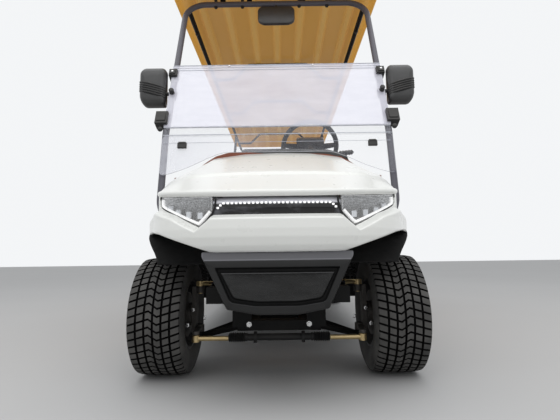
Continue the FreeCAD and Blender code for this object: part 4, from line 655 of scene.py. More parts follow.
def ribbon(line, wide, deep, side, stand):
    """A bar of oblong section along a line seen from the front, standing behind the body's outline."""
    line = through(line, 70)
    step = np.gradient(line, axis=0)
    step /= np.linalg.norm(step, axis=1)[:, None]
    normal = np.stack([-step[:, 1], step[:, 0]], -1)
    section = np.array([(-1, 0.2), (-0.7, 1), (0.7, 1), (1, 0.2), (1, -1), (-1, -1)])
    x = line[:, :1] + normal[:, :1] * section[:, 0] * wide / 2
    z = line[:, 1:] + normal[:, 1:] * section[:, 0] * wide / 2
    y = plan_y(line[:, :1]) + stand - section[:, 1] * deep
    return at(side * x, y, z).reshape(-1, 3), turned(tube_faces(70, 6), side < 0)


for hand, side in (("left", -1), ("right", 1)):
    bowl = mesh_piece("lamp_bowl_" + hand, *lamp_grid(side, lambda h, v: 0.006 + 0.034 * domed(h, v, 5)),
                      bowl_black, 40)
    fit(bowl, "chassis", "lamp_lens", "headlamps")
    fit(walled(mesh_piece("lamp_cover_" + hand, *lamp_grid(side, lambda h, v: 0.002 - 0.007 * domed(h, v, 4)),
                          lens, 40), 0.0015), "chassis", "lamp_lens")
    fit(mesh_piece("lamp_guide_" + hand, *ribbon(GUIDE, 0.0098, 0.006, side, 0.0085), guide_white, 50),
        "chassis", "lamp_lens")
    boxes = blocks([(side * x, plan_y(x) + 0.026, z, 0.0125, 0.01, 0.0145) for x, z in MODULES])
    fit(bevelled(mesh_piece("lamp_housings_" + hand, *boxes, bowl_black, 30), 0.003), "chassis", "lamp_lens")
    panes = blocks([(side * x, plan_y(x) + 0.0175, z, 0.0085, 0.003, 0.0105) for x, z in MODULES])
    fit(bevelled(mesh_piece("lamp_modules_" + hand, *panes, module_glass, 30), 0.0028, 3), "chassis",
        "lamp_lens")
    outline = np.array(LAMP_LOW + LAMP_HIGH[::-1])
    frame_line = np.vstack([outline, outline[:2]])
    fit(mesh_piece("lamp_gasket_" + hand, *ribbon(frame_line, 0.0056, 0.003, side, 0.0022), seal, 50),
        "chassis", "black_moulding")
    bezel = [(0.206, 0.6), (0.206, 0.639), (0.22, 0.6425), (0.3, 0.647), (0.37, 0.657), (0.4, 0.664)]
    fit(mesh_piece("lamp_bezel_" + hand, *ribbon(bezel, 0.003, 0.003, side, 0.0065), chrome, 50), "chassis",
        "bare_steel")

# The strip's colour is painted reflection: a pale band of sky along its top, and pale patches in the black
# below it.
gloss = Finish("gloss_black_strip", Coat_Weight=0.5, Coat_Roughness=0.03, Specular_IOR_Level=0.3)
sky_reflection_band = ((gloss.part("Z") - 0.6185) * 160).clamped()
reflection_patches = (gloss.noise(9, 4, (1, 1, 2.4)) * 4.5 - 2.1).clamped()
lower_reflections = gloss.mix(reflection_patches, grey(0.006), (0.17, 0.17, 0.19, 1))
gloss.set(Base_Color=gloss.mix(sky_reflection_band, lower_reflections, (0.7, 0.7, 0.75, 1)), Roughness=0.1 + gloss.noise(40) * 0.05)
strip_x = np.linspace(-0.2, 0.2, 60)
strip_v = np.array([(0.012, 0.5815), (0.0035, 0.5825), (0.0005, 0.585), (-0.0005, 0.61), (0.0000, 0.624),
                    (0.004, 0.63),
                    (0.016, 0.64), (0.022, 0.6455)])
points = at(strip_x, plan_y(strip_x) + 0.003 + strip_v[:, :1], strip_v[:, 1:] + 0 * strip_x)
fit(walled(mesh_piece("light_strip", points, grid_faces(8, 60), gloss, 50), 0.003), "chassis", "gloss_black",
    "light_bar")
diode_x = np.concatenate([np.linspace(-0.166, 0.166, 26), [-0.176, 0.176, -0.184, 0.184]])
diode_z = np.concatenate([np.full(26, 0.621), [0.615] * 2, [0.607] * 2])
diode = mottled("diode_lens", (200,), (grey(0.75), grey(0.9)), (0.2, 0.1, 100), Emission_Color=grey(0.9),
                Emission_Strength=0.7)
diodes = blocks([(x, plan_y(x) + 0.0012, z, 0.0036, 0.003, 0.003) for x, z in zip(diode_x, diode_z)])
fit(bevelled(mesh_piece("strip_diodes", *diodes, diode, 30), 0.0008), "chassis", "lamp_lens")


# Bumper insert: one deep tray of grained black plastic with a wide chamfer along its top. A groove runs
# round a raised panel, whose face has a coarse leather grain.
def corner_line(corners, radius, per_corner=8, per_side=10):
    """A closed outline whose corners are rounded by quadratic arcs, with the same count of points on each
    side, so that two such outlines can be joined row by row."""
    c = np.asarray(corners, float)
    into, out = np.roll(c, 1, 0) - c, np.roll(c, -1, 0) - c
    long_in, long_out = (np.linalg.norm(q, axis=1)[:, None] for q in (into, out))
    reach = np.minimum(radius, 0.45 * np.minimum(long_in, long_out))
    start, end = c + into / long_in * reach, c + out / long_out * reach
    t = np.linspace(0, 1, per_corner)[None, :, None]
    bend = (1 - t) ** 2 * start[:, None] + 2 * t * (1 - t) * c[:, None] + t ** 2 * end[:, None]
    s = np.linspace(0, 1, per_side + 2)[None, 1:-1, None]
    run = end[:, None] + (np.roll(start, -1, 0) - end)[:, None] * s
    return np.concatenate([bend, run], axis=1).reshape(-1, c.shape[1])


black_grain = powder("grained_black_plastic", grey(0.03), 0.48, 0.1, 900)
# Faces that look up are painted pale lavender grey, mostly above 441 mm and brightest along the chamfer's
# lower edge: a painted sky reflection on the black plastic.
bumper_grain = Finish("smooth_black_plastic", Specular_IOR_Level=0.32)
uprightness = bumper_grain.add("SeparateXYZ", out=2, Vector=bumper_grain.add("NewGeometry", out="Normal"))
above = ((bumper_grain.part("Z") - 0.441) * 220).clamped()
sky_sheen = ((uprightness - 0.25) * 2.2).clamped() * (above * 0.88 + 0.12)
edge_highlight = (1 - (bumper_grain.part("Z") - 0.4445).math("ABSOLUTE") * 330).clamped()
plain_black = bumper_grain.mix(bumper_grain.noise(12, 5), grey(0.007), grey(0.015))
bumper_grain.set(Base_Color=bumper_grain.mix(sky_sheen * (edge_highlight * 0.65 + 0.35), plain_black,
                                             (0.33, 0.33, 0.37, 1)),
                 Roughness=0.38 + bumper_grain.noise(40, 3) * 0.12)
bumper_grain.bump(bumper_grain.noise(1200, 2), 0.0002, 0.5)
panel_grain = Finish("leather_grain_plastic", Specular_IOR_Level=0.4)
cells = panel_grain.add("TexVoronoi", {"feature": "DISTANCE_TO_EDGE"}, Vector=panel_grain.place, Scale=230.0)
wear = (panel_grain.noise(22, 6, (0.35, 1, 2.2)) * 1.8 - 0.5).clamped()
panel_grain.set(Base_Color=panel_grain.mix(wear, grey(0.008), grey(0.03)),
                Roughness=0.5 + panel_grain.noise(70) * 0.25)
panel_grain.bump((cells * 6).clamped(), 0.0011, 0.9)
# The groove's faces take a darker black: painted shade in the groove.
groove_shade_black = mottled("groove_painted_shade_plastic", (40,), (grey(0.003), grey(0.007)), (0.5, 0.2, 90),
                       Specular_IOR_Level=0.15)


def insert_corners(x_top, z_top, x_mid, z_mid, x_foot, z_foot, x_low, z_low):
    """The outline's eight corners, clockwise from the upper one on the left."""
    right = [(x_top, z_top), (x_mid, z_mid), (x_foot, z_foot), (x_low, z_low)]
    return [(-x_top, z_top)] + right + [(-x, z) for x, z in right[:0:-1]]


SHELLS = [  # depth from the front face, corner radius, then x and z of the top, middle, foot and low edge
    (0.08, 0.005, 0.232, 0.47, 0.229, 0.456, 0.153, 0.299, 0.062, 0.283),
    (0.012, 0.005, 0.232, 0.47, 0.229, 0.455, 0.152, 0.3, 0.061, 0.284),
    (0.008, 0.006, 0.231, 0.4685, 0.228, 0.454, 0.151, 0.301, 0.061, 0.285),
    (0.002, 0.012, 0.221, 0.446, 0.219, 0.442, 0.149, 0.3035, 0.06, 0.2872),
    (0.000, 0.014, 0.218, 0.441, 0.216, 0.437, 0.147, 0.306, 0.059, 0.2895),
    (0.000, 0.014, 0.188, 0.424, 0.185, 0.417, 0.142, 0.32, 0.066, 0.309),
    (0.0015, 0.013, 0.1865, 0.4225, 0.1835, 0.4158, 0.141, 0.3212, 0.0656, 0.3102),
    (0.01, 0.012, 0.181, 0.418, 0.178, 0.412, 0.138, 0.3245, 0.0645, 0.314),
    (0.01, 0.012, 0.174, 0.411, 0.171, 0.406, 0.133, 0.33, 0.063, 0.3195),
    (0.0025, 0.012, 0.169, 0.407, 0.166, 0.402, 0.13, 0.3335, 0.062, 0.3235),
    (0.001, 0.012, 0.166, 0.4045, 0.163, 0.4, 0.128, 0.3355, 0.061, 0.3255)]
loops = np.array([corner_line(insert_corners(*row[2:]), row[1]) for row in SHELLS])
deep = np.array([row[0] for row in SHELLS])
bow = 0.01 * (1 - (loops[..., 0] / 0.23) ** 2) - 0.01
bevel_back = 0.024 * np.clip((loops[..., 1] - 0.4445) / 0.0245, 0, 1)
points = at(loops[..., 0], -0.47 + np.maximum(deep[:, None], bevel_back) - np.minimum(bow, 0), loops[..., 1])
count = loops.shape[1]
faces = turned(grid_faces(len(SHELLS), count, around=True))
faces_of = [2 if 6 <= number // count <= 8 else 0 for number in range(len(faces))] + [1]
faces.append(list(range((len(SHELLS) - 1) * count, len(SHELLS) * count)))
bumper = mesh_piece("bumper_tray", points, faces, [bumper_grain, panel_grain, groove_shade_black], 30, faces_of)
fit(bumper, "chassis", "black_moulding", "front_bumper")


# Windshield: two clear acrylic panes, hinged along the middle, clipped in front of a hoop of round tube
# under grey powder coat. Moulded blocks hold the panes, and knobs and catches lock the upper one.
def bent(points, bend):
    """A line through corners, each replaced by an arc of a radius that touches both sides."""
    points = [np.asarray(p, float) for p in points]
    line = [points[0]]
    for before, corner, after in zip(points, points[1:], points[2:]):
        into, out = before - corner, after - corner
        long_in, long_out = np.linalg.norm(into), np.linalg.norm(out)
        into, out = into / long_in, out / long_out
        half = (math.pi - math.acos(float(np.clip(into @ out, -1, 1)))) / 2
        reach = min(bend * math.tan(half), 0.45 * min(long_in, long_out))
        radius = reach / math.tan(half)
        middle = corner + (into + out) / np.linalg.norm(into + out) * radius / math.cos(half)
        start = corner + into * reach - middle
        cross = corner + out * reach - middle
        turn = 2 * half
        count = max(3, int(turn / 0.12))
        w = np.linspace(0, 1, count)[:, None]
        line += list(middle + (np.sin((1 - w) * turn) * start + np.sin(w * turn) * cross) / math.sin(turn))
    return np.array(line + [points[-1]])


def rod(line, radius, sides, guide=(0.31, 0.42, 0.85)):
    """A round bar about a line: circles across its direction, closed at both ends. The radius may change
    along it."""
    line = np.asarray(line, float)
    step = np.gradient(line, axis=0)
    step /= np.linalg.norm(step, axis=1)[:, None]
    across = np.cross(step, np.asarray(guide, float))
    across /= np.linalg.norm(across, axis=1)[:, None]
    upward = np.cross(across, step)
    turn = np.linspace(0, 2 * math.pi, sides, endpoint=False)
    radii = np.broadcast_to(np.asarray(radius, float), (len(line),))[:, None, None]
    points = line[:, None] + radii * (across[:, None] * np.cos(turn)[None, :, None]
                                      + upward[:, None] * np.sin(turn)[None, :, None])
    return points.reshape(-1, 3), turned(tube_faces(len(line), sides))


KNEE_Y, KNEE_Z, RAKE_LOW, RAKE_HIGH = 0.098, 1.018, 0.19, 0.388
HOOP_HALF, HOOP_TOP = 0.508, 1.875


def strut_y(z):
    return KNEE_Y + (z - KNEE_Z) * (RAKE_HIGH if z > KNEE_Z else RAKE_LOW)


def spot(x, y, z):
    return np.array([x, y + AXLE, z], float)


hoop_coat = powder("grey_powder_coat", (0.105, 0.102, 0.122, 1), 0.34, 0.05, 900)
side_points = [spot(0.478, 0.392, 0.3605), spot(0.478, 0.392, 0.596), spot(0.478, 0.018, 0.602),
               spot(HOOP_HALF, strut_y(0.69), 0.69),
               spot(HOOP_HALF, strut_y(KNEE_Z), KNEE_Z), spot(0.502, strut_y(HOOP_TOP), HOOP_TOP)]
hoop_corners = side_points + [p * (-1, 1, 1) for p in side_points[::-1]]
fit(mesh_piece("hoop_tube", *rod(bent(hoop_corners, 0.11), 0.015, 28), hoop_coat, 40), "chassis", "hoop_grey",
    "front_hoop")


def slope_at(z, low, high):
    """The panes' own directions, up the slope and out ahead of it, and the hoop's axis at a height."""
    up = spot(0, strut_y(high), high) - spot(0, strut_y(low), low)
    up /= np.linalg.norm(up)
    return spot(0, strut_y(z), z), up, np.array([0, -up[2], up[1]])


def pane_mesh(outline, low, high, stand, thick):
    """A flat sheet on an outline of (x, along the slope), standing ahead of the hoop's axis."""
    base, up, ahead = slope_at(low, low, high)
    outline = np.asarray(outline, float)
    near = base + np.array([1, 0, 0]) * outline[:, :1] + up * outline[:, 1:] + ahead * stand
    count = len(outline)
    points = np.vstack([near, near + ahead * thick])
    sides = [(i, (i + 1) % count, count + (i + 1) % count, count + i) for i in range(count)]
    return points, [list(range(count))[::-1], list(range(count, 2 * count))] + sides


# Both panes are painted whitish and partly opaque: painted sky reflection, broken up with smears. On the
# lower pane it grows towards -X.
glare_acrylic = Finish("sky_glare_acrylic", IOR=1.49, Specular_IOR_Level=0.6)
glare_and_smear = glare_acrylic.noise(5, 6, (1, 1, 3))
glare_acrylic.set(Base_Color=glare_acrylic.mix(glare_and_smear, (0.83, 0.83, 0.95, 1), (0.93, 0.93, 1.0, 1)), Roughness=0.08
          + glare_and_smear * 0.1, Alpha=0.4 + glare_and_smear * 0.18)
acrylic = Finish("clear_acrylic", IOR=1.49, Specular_IOR_Level=0.12)
glare_and_smear = acrylic.noise(6, 6, (1, 1, 3))
glare_sweep = (0.1 - acrylic.part("X") * 1.5).clamped() * 0.3
acrylic.set(Base_Color=acrylic.mix(glare_and_smear, (0.78, 0.79, 0.88, 1), (0.9, 0.91, 0.97, 1)), Roughness=0.05
            + glare_and_smear * 0.1,
            Alpha=(0.02 + glare_and_smear * 0.05 + glare_sweep).clamped())
edge_band = mottled("acrylic_edges", (40,), ((0.42, 0.44, 0.5, 1), (0.72, 0.74, 0.8, 1)), (0.12, 0.1, 50),
                    Alpha=0.75)
hinge_clear = mottled("clear_hinge", (40,), ((0.66, 0.68, 0.74, 1), (0.82, 0.84, 0.9, 1)), (0.12, 0.1, 50),
                      Alpha=0.1)
HINGE, HALF_GAP, PANE_HALF, PANE_STAND, PANE_THICK = 1.016, 0.016, 0.515, 0.019, 0.005
LOWER, UPPER = (0.806, HINGE - HALF_GAP), (HINGE + HALF_GAP, 1.4)  # foot and head of each pane
low_long, high_long = ((head - foot) / slope_at(foot, foot, head)[1][2] for foot, head in (LOWER, UPPER))
over_dash = [(PANE_HALF, 0.0), (0.465, 0.01), (0.39, 0.038), (0.3, 0.084), (0.24, 0.108)]
arch = [(-PANE_HALF, low_long)] + [(-x, up) for x, up in over_dash] + over_dash[::-1] + [(PANE_HALF,
        low_long)]
square = [(-PANE_HALF, 0), (PANE_HALF, 0), (PANE_HALF, high_long), (-PANE_HALF, high_long)]
for place, outline, ends, sheet in (("lower", corner_line(arch, 0.03, 7, 2), LOWER, acrylic),
                                    ("upper", corner_line(square, 0.012, 7, 6), UPPER, glare_acrylic)):
    points, faces = pane_mesh(outline, *ends, PANE_STAND, PANE_THICK)
    faces_of = [0, 0] + [1] * len(outline)
    fit(mesh_piece(place + "_pane", points, faces, [sheet, edge_band], 30, faces_of), "chassis", "glass",
        "windshield_" + place)
hems = []
for half, foot, head, ends, thick in ((0.513, high_long - 0.02, high_long - 0.0185, UPPER, 0.0016),
                                      (0.513, high_long - 0.036, high_long - 0.033, UPPER, 0.0016),
                                      (0.513, high_long - 0.003, high_long, UPPER, 0.0016),
                                      (0.513, 0.0005, 0.0035, UPPER, 0.0016),
                                      (0.513, low_long - 0.0035, low_long - 0.0005, LOWER, 0.0016),
                                      (0.505, low_long - 0.042, low_long - 0.0405, LOWER, 0.0012)):
    hems.append(pane_mesh([(-half, foot), (half, foot), (half, head), (-half, head)], *ends, 0.0242, thick))
fit(mesh_piece("pane_hems", *joined(hems), edge_band, 30), "chassis", "glass")
hinge_low, up_low, ahead_low = slope_at(LOWER[1], *LOWER)
hinge_high, up_high, ahead_high = slope_at(UPPER[0], *UPPER)
start = hinge_low + ahead_low * 0.0215 - up_low * 0.006
end = hinge_high + ahead_high * 0.0215 + up_high * 0.006
turn = np.linspace(0, 1, 13)[:, None]
centre_line = start + (end - start) * turn
outward = (ahead_low + ahead_high) / np.linalg.norm(ahead_low + ahead_high)
ripple = 0.0035 + 0.0022 * np.cos(turn * 3 * 2 * math.pi)
section = np.vstack([centre_line + outward * ripple, (centre_line - outward * ripple)[::-1]])
span = np.array([-0.512, 0.512])
points = section[None] + np.stack([span, 0 * span, 0 * span], -1)[:, None]
fit(mesh_piece("pane_hinge", points, turned(tube_faces(2, len(section))), hinge_clear, 40), "chassis",
    "glass",
    "windshield_hinge")


def pin(centre, way, profile, sides=20):
    """A turned part: circles of given (distance, radius) along a direction, closed at both ends."""
    way = np.asarray(way, float) / np.linalg.norm(way)
    line = np.array([centre + way * d for d, _ in profile])
    return rod_along(line, way, [r for _, r in profile], sides)


def rod_along(line, way, radii, sides):
    """Like a rod, with all its circles square to one direction."""
    across = np.cross(way, (0.31, 0.42, 0.85))
    across /= np.linalg.norm(across)
    upward = np.cross(across, way)
    turn = np.linspace(0, 2 * math.pi, sides, endpoint=False)
    ring = across * np.cos(turn)[:, None] + upward * np.sin(turn)[:, None]
    points = line[:, None] + np.asarray(radii)[:, None, None] * ring[None]
    return points.reshape(-1, 3), turned(tube_faces(len(line), sides))


def slope_block(side, across, z, along, out, ends):
    """A block on a pane's slope at a height, from its ranges across the cart, along the slope and ahead."""
    base, up, ahead = slope_at(z, *ends)
    corners = [base + np.array([side * across[i], 0, 0]) + up * along[j] + ahead * c
               for c in out for i, j in ((0, 0), (1, 0), (1, 1), (0, 1))]
    points, faces = box_faces(corners)
    return points, turned(faces, side > 0)


KNOB = [(0, 0.0125), (0.004, 0.0125), (0.005, 0.008), (0.01, 0.008), (0.012, 0.0115), (0.021, 0.0125),
        (0.024, 0.009)]
BUTTON = [(0, 0.006), (0.004, 0.011), (0.01, 0.0125), (0.016, 0.01), (0.019, 0.004)]
LOW_CLIP = (LOWER[0], KNEE_Z)
clamps, steel_bits = [], []
for side in (-1, 1):
    clamps += [slope_block(side, (0.488, 0.528), 1.349, (-0.022, 0.022), (-0.01, 0.036), UPPER),
               slope_block(side, (0.5, 0.556), 1.082, (-0.035, 0.035), (-0.012, 0.038), UPPER),
               slope_block(side, (0.496, 0.524), 1.349, (-0.015, 0.015), (0.034, 0.041), UPPER),
               slope_block(side, (0.508, 0.549), 1.082, (-0.023, 0.023), (0.036, 0.042), UPPER)]
    base, up, ahead = slope_at(1.23, *UPPER)
    clamps.append(pin(base + (side * 0.5, 0, 0) + ahead * 0.0245, ahead, KNOB))
    base, up, ahead = slope_at(1.028, *UPPER)
    clamps.append(pin(base + (side * 0.53, 0, 0) + ahead * 0.012, ahead, BUTTON))
    clamps.append(slope_block(side, (0.402, 0.442), 0.945, (-0.014, 0.012), (0.0243, 0.0355), LOW_CLIP))
    base, up, ahead = slope_at(0.945, *LOW_CLIP)
    barrel = base + (side * 0.422, 0, 0) + ahead * 0.03 + up * 0.01
    clamps.append(pin(barrel, (1, 0, 0), [(-0.016, 0.0075), (0.016, 0.0075)], 16))
    base, up, ahead = slope_at(1.349, *UPPER)
    steel_bits.append(pin(base + (side * 0.51, 0, 0) + ahead * 0.041, ahead,
                          [(0, 0.006), (0.002, 0.006), (0.004, 0.003)], 12))
base, up, ahead = slope_at(1.393, *UPPER)
steel_bits += [pin(base + (x, 0, 0) + ahead * 0.026, ahead, [(0, 0.0045), (0.0025, 0.0045), (0.004, 0.002)],
                   12) for x in (-0.235, 0.18)]
fit(bevelled(mesh_piece("pane_fittings", *joined(clamps), black_grain, 35), 0.003), "chassis",
    "black_moulding", "windshield_clips")
fit(mesh_piece("pane_screws", *joined(steel_bits), chrome, 40), "chassis", "bare_steel")


# Roof: one vacuum-formed tray of translucent amber plastic with a rolled rim, stiffened by seven pressed
# ribs that run its whole length. It rests on the frame's tubes; the daylight through it is painted as a glow.
ROOF_HALF, ROOF_FRONT, ROOF_REAR, ROOF_CORNER = 0.565, 0.27, 3.36, 0.12
ROOF_FOOT, ROOF_TOP, ROLL, WALL, RIB_PITCH = 1.88, 1.975, 0.084, 0.005, 0.15


def roof_loop(inset, height, count=96):
    """The roof's outline drawn in by an inset: x and y on a rounded oblong, at one height."""
    half, low, high = ROOF_HALF - inset, ROOF_FRONT + inset, ROOF_REAR - inset
    radius = max(ROOF_CORNER - inset, 0.012)
    corner = np.array([(half - radius, high - radius), (-half + radius, high - radius),
                       (-half + radius, low + radius), (half - radius, low + radius)])
    quarter = np.linspace(0, math.pi / 2, count // 4)
    loop = [corner[k] + radius * np.stack([np.cos(quarter + k * math.pi / 2),
                                           np.sin(quarter + k * math.pi / 2)], -1) for k in range(4)]
    loop = np.vstack(loop)
    return at(loop[:, 0], loop[:, 1], height)


def rib_height(x, y):
    """Depth of the ribs at a place: a flat-topped ridge on each, which runs out at both ends."""
    nearest = np.clip(np.round(x / RIB_PITCH), -3, 3) * RIB_PITCH
    ridge = 1 - eased(np.abs(x - nearest), 0.014, 0.026)
    ends = eased(y, ROOF_FRONT + 0.085, ROOF_FRONT
                 + 0.125) * (1 - eased(y, ROOF_REAR - 0.125, ROOF_REAR - 0.085))
    return 0.018 * ridge * ends


# The sheet glows in its own colour, brighter over the ribs and at the rolled rim: painted daylight coming
# through it.
amber = Finish("amber_plastic", Coat_Roughness=0.1, Emission_Strength=0.24)
rim_glow = ((amber.part("X").math("ABSOLUTE") - 0.5) * 22).clamped()
fleck = amber.noise(2.2, 5)
ripple = (amber.part("X") * 41.888).math("COSINE") * 0.5 + 0.5
sheet_colour = amber.mix(fleck, (0.54, 0.28, 0.055, 1), (0.62, 0.35, 0.085, 1))
sheet_colour = amber.mix((ripple * 1.6 - 0.9).clamped() * 0.6, sheet_colour, (0.76, 0.5, 0.16, 1))
sheet_colour = amber.mix(rim_glow, sheet_colour, (0.8, 0.45, 0.09, 1))
amber.set(Base_Color=sheet_colour, Emission_Color=sheet_colour, Roughness=0.38 + amber.noise(14) * 0.12,
          Coat_Weight=0.25)
amber.bump(amber.noise(3, 3), 0.004, 0.5)


def rolled_rim(wall):
    """Inset and height along the quarter circle of the rim, at a depth inside its wall."""
    radius = ROLL - wall
    return [(wall + radius * (1 - math.cos(t)), ROOF_TOP - ROLL + radius * math.sin(t))
            for t in np.linspace(0, math.pi / 2, 9)]


inner_rows = rolled_rim(WALL)[::-1] + [(WALL, ROOF_FOOT)]
outer_rows = [(0.004, ROOF_FOOT), (0, ROOF_FOOT + 0.001)] + rolled_rim(0)
loops = [roof_loop(inset, height) for inset, height in inner_rows + outer_rows]
rim_points = np.vstack(loops)
rim_faces = grid_faces(len(loops), len(loops[0]), around=True)
rib_edges = (np.arange(-3, 4)[:, None] * RIB_PITCH + [-0.026, -0.02, -0.014, 0.014, 0.02, 0.026]).reshape(-1)
columns = np.unique(np.round(np.concatenate([np.linspace(-0.481, 0.481, 40), rib_edges]), 4))
rows = np.concatenate([[ROOF_FRONT + ROLL], np.linspace(ROOF_FRONT + 0.09, ROOF_FRONT + 0.125, 6),
                       np.linspace(0.6, 3.0, 12),
                       np.linspace(ROOF_REAR - 0.125, ROOF_REAR - 0.09, 6), [ROOF_REAR - ROLL]])
X, Y = np.meshgrid(columns, rows)
X = X * (ROOF_HALF - ROLL) / 0.481
under = at(X, Y, ROOF_TOP - WALL - rib_height(X, Y) - 0.0004)
over = at(X, Y, ROOF_TOP - 0.0008 * np.cos(X * 9) ** 2)
plate = grid_faces(len(rows), len(columns))
tray = joined([(rim_points, rim_faces), (under.reshape(-1, 3), turned(plate)), (over.reshape(-1, 3), plate)])
fit(mesh_piece("roof_tray", *tray, amber, 30), "chassis", "roof_amber", "roof_panel")
studs = []
for x in (-0.34, -0.19, 0.13, 0.286):
    top = spot(x, strut_y(HOOP_TOP), HOOP_TOP)
    studs.append(pin(top, (0, 0, 1), [(0.012, 0.007), (0.02, 0.007), (0.021, 0.01), (0.026, 0.01),
                                      (0.028, 0.006)], 6))
    studs.append(pin(top, (0, 0, -1), [(0.0145, 0.011), (0.0165, 0.011), (0.017, 0.0085), (0.022, 0.0085),
                                       (0.0235, 0.004)], 12))
for side in (-1, 1):
    for y in (0.62, 1.272, 1.996, 2.99):
        studs.append(pin(spot(side * 0.485, y, 1.825), (0, 0, -1),
                         [(0.0125, 0.011), (0.015, 0.011), (0.0155, 0.008), (0.02, 0.008), (0.0215, 0.004)],
                         12))
fit(mesh_piece("roof_screws", *joined(studs), black_grain, 40), "chassis", "frame_black")


# Mirrors: black moulded housings with a raised ribbed band, on ball arms clamped to the hoop, and a wide
# cabin mirror under the cross tube.
MIRROR_X, MIRROR_Z = 0.594, 1.272


def mirror_half(side):
    """A domed housing: rounded outlines that shrink over its back, drawn from the glass rearwards."""
    x, z, high, wide = MIRROR_X, MIRROR_Z, 0.095, 0.063
    ring = np.array([(-wide + 0.006, -high), (wide - 0.022, -high), (wide, -high + 0.034),
                     (wide, high - 0.02), (wide - 0.02, high),
                     (-wide + 0.01, high), (-wide, high - 0.014), (-wide, -high + 0.012)])
    rows = []
    for deep, share in ((0.0, 0.93), (0.001, 0.97), (0.006, 1.0), (0.026, 0.995), (0.04, 0.955),
                        (0.049, 0.87), (0.0545, 0.72), (0.056, 0.5)):
        outline = corner_line(ring * share, 0.03 * share, 8, 6)
        rows.append(at(side * (x + outline[:, 0]), strut_y(z) - deep, z + outline[:, 1]))
    return np.vstack(rows), turned(tube_faces(len(rows), len(rows[0])), side > 0)


def mirror_bands(side):
    """Five ribs on a strap that slants over the housing's back."""
    parts = []
    for number in range(5):
        t = np.linspace(-1, 1, 15)
        x = MIRROR_X + 0.058 * t
        z = 1.255 + 0.011 * (number - 2) + 0.016 * t
        y = strut_y(MIRROR_Z) - 0.0575 + 0.017 * np.abs(t) ** 3.2
        parts.append(rod(at(side * x, y, z), 0.0062, 8))
    return joined(parts)


housing = mottled("mirror_housing", (12, 4), (grey(0.022), grey(0.044)), (0.4, 0.12, 40),
                  (700, 2, 0.0003, 0.5), Specular_IOR_Level=0.5, Coat_Weight=0.3, Coat_Roughness=0.25)
fit(mesh_piece("mirror_housings", *joined([mirror_half(-1), mirror_half(1)]), housing, 35), "chassis",
    "black_moulding", "mirrors")
fit(mesh_piece("mirror_straps", *joined([mirror_bands(-1), mirror_bands(1)]), black_grain, 50), "chassis",
    "black_moulding")
arms = []
for side in (-1, 1):
    hoop_at = spot(side * 0.507, strut_y(1.243), 1.243)
    arms.append(rod(through([hoop_at - (side * 0.006, 0, 0), hoop_at + (side * 0.028, -0.006, 0),
                             hoop_at + (side * 0.052, -0.01, 0.002)], 12),
                    np.interp(np.linspace(0, 1, 12), [0, 0.35, 0.6, 1], [0.014, 0.009, 0.01, 0.014]), 16))
    arms.append(pin(hoop_at - np.array([0, 0, 0.022]), (0, 0.36, 0.93),
                    [(0, 0.0185), (0.001, 0.02), (0.042, 0.02), (0.043, 0.0185)], 24))
    base, up, ahead = slope_at(1.243, 1.1, 1.4)
    arms.append(pin(hoop_at + ahead * 0.018, ahead, [(0, 0.006), (0.004, 0.006), (0.006, 0.003)], 12))
fit(mesh_piece("mirror_arms", *joined(arms), black_grain, 40), "chassis", "black_moulding")
silvered = mottled("mirror_glass", (5,), (grey(0.62), grey(0.7)), (0.02, 0.02, 30), Metallic=1.0)
faces_at = []
for side in (-1, 1):
    outline = corner_line(np.array([(-0.052, -0.083), (0.036, -0.083), (0.053, -0.058), (0.053, 0.066),
                                    (0.04, 0.083), (-0.046, 0.083)]), 0.02, 6, 3)
    loop = at(side * (MIRROR_X + outline[:, 0]), strut_y(MIRROR_Z) + 0.0012, MIRROR_Z + outline[:, 1])
    faces_at.append((loop, [list(range(len(loop)))[::-side]]))
fit(mesh_piece("mirror_faces", *joined(faces_at), silvered, 40), "chassis", "glass")
stem_y = strut_y(HOOP_TOP)
ring = np.array([(-0.103, -0.035), (-0.072, -0.052), (0.072, -0.052), (0.103, -0.035), (0.103, 0.034),
                 (0.088, 0.052), (-0.088, 0.052), (-0.103, 0.034)])
rows = []
for deep, share in ((0.014, 0.9), (0.014, 0.95), (0.01, 1.0), (-0.004, 1.0), (-0.008, 0.97), (-0.0095, 0.9),
                    (-0.01, 0.7)):
    outline = corner_line(ring * share, 0.022, 8, 6)
    rows.append(at(outline[:, 0], stem_y + deep, 1.803 + outline[:, 1]))
cabin = (np.vstack(rows), tube_faces(len(rows), len(rows[0])))
stem = rod(np.array([spot(0, stem_y, 1.862), spot(0, stem_y, 1.845), spot(0, stem_y + 0.004, 1.825)]), 0.008,
           16)
fit(mesh_piece("cabin_mirror", *joined([cabin, stem]), housing, 35), "chassis", "black_moulding")


# Dash and steering: a soft-touch brown moulding that follows the hood's rear edge, with a black instrument
# visor on it, a column in a black shroud with a selector lever, and a foam-gripped wheel on three spokes.
dash_skin = mottled("brown_soft_plastic", (7, 5), ((0.22, 0.058, 0.026, 1), (0.3, 0.088, 0.042, 1)),
                    (0.42, 0.15, 30), (420, 3, 0.0004, 0.6), Coat_Weight=0.15, Coat_Roughness=0.3,
                    Specular_IOR_Level=0.4)
CREST = [(0, 0.9405), (0.15, 0.938), (0.23, 0.934), (0.285, 0.918), (0.325, 0.892), (0.357, 0.868),
         (0.446, 0.826), (0.47, 0.818)]


def crest_z(x):
    return np.interp(np.abs(x), *zip(*CREST))


DASH_FOOT = 0.646
dash_x = np.linspace(-0.47, 0.47, 81)
profile = [(0.1195, -9), (0.1195, -0.012), (0.1215, -0.004), (0.13, 0.0), (0.17, 0.004), (0.25, 0.002),
           (0.33, -0.008), (0.362, -0.018),
           (0.376, -0.032), (0.38, -0.05), (0.378, -0.09), (0.37, -0.104), (0.33, -0.112), (0.22, -0.15),
           (0.195, -9)]
rows = []
for y, drop in profile:
    z = crest_z(dash_x) + drop
    rows.append(at(dash_x, y, np.maximum(z, DASH_FOOT)))


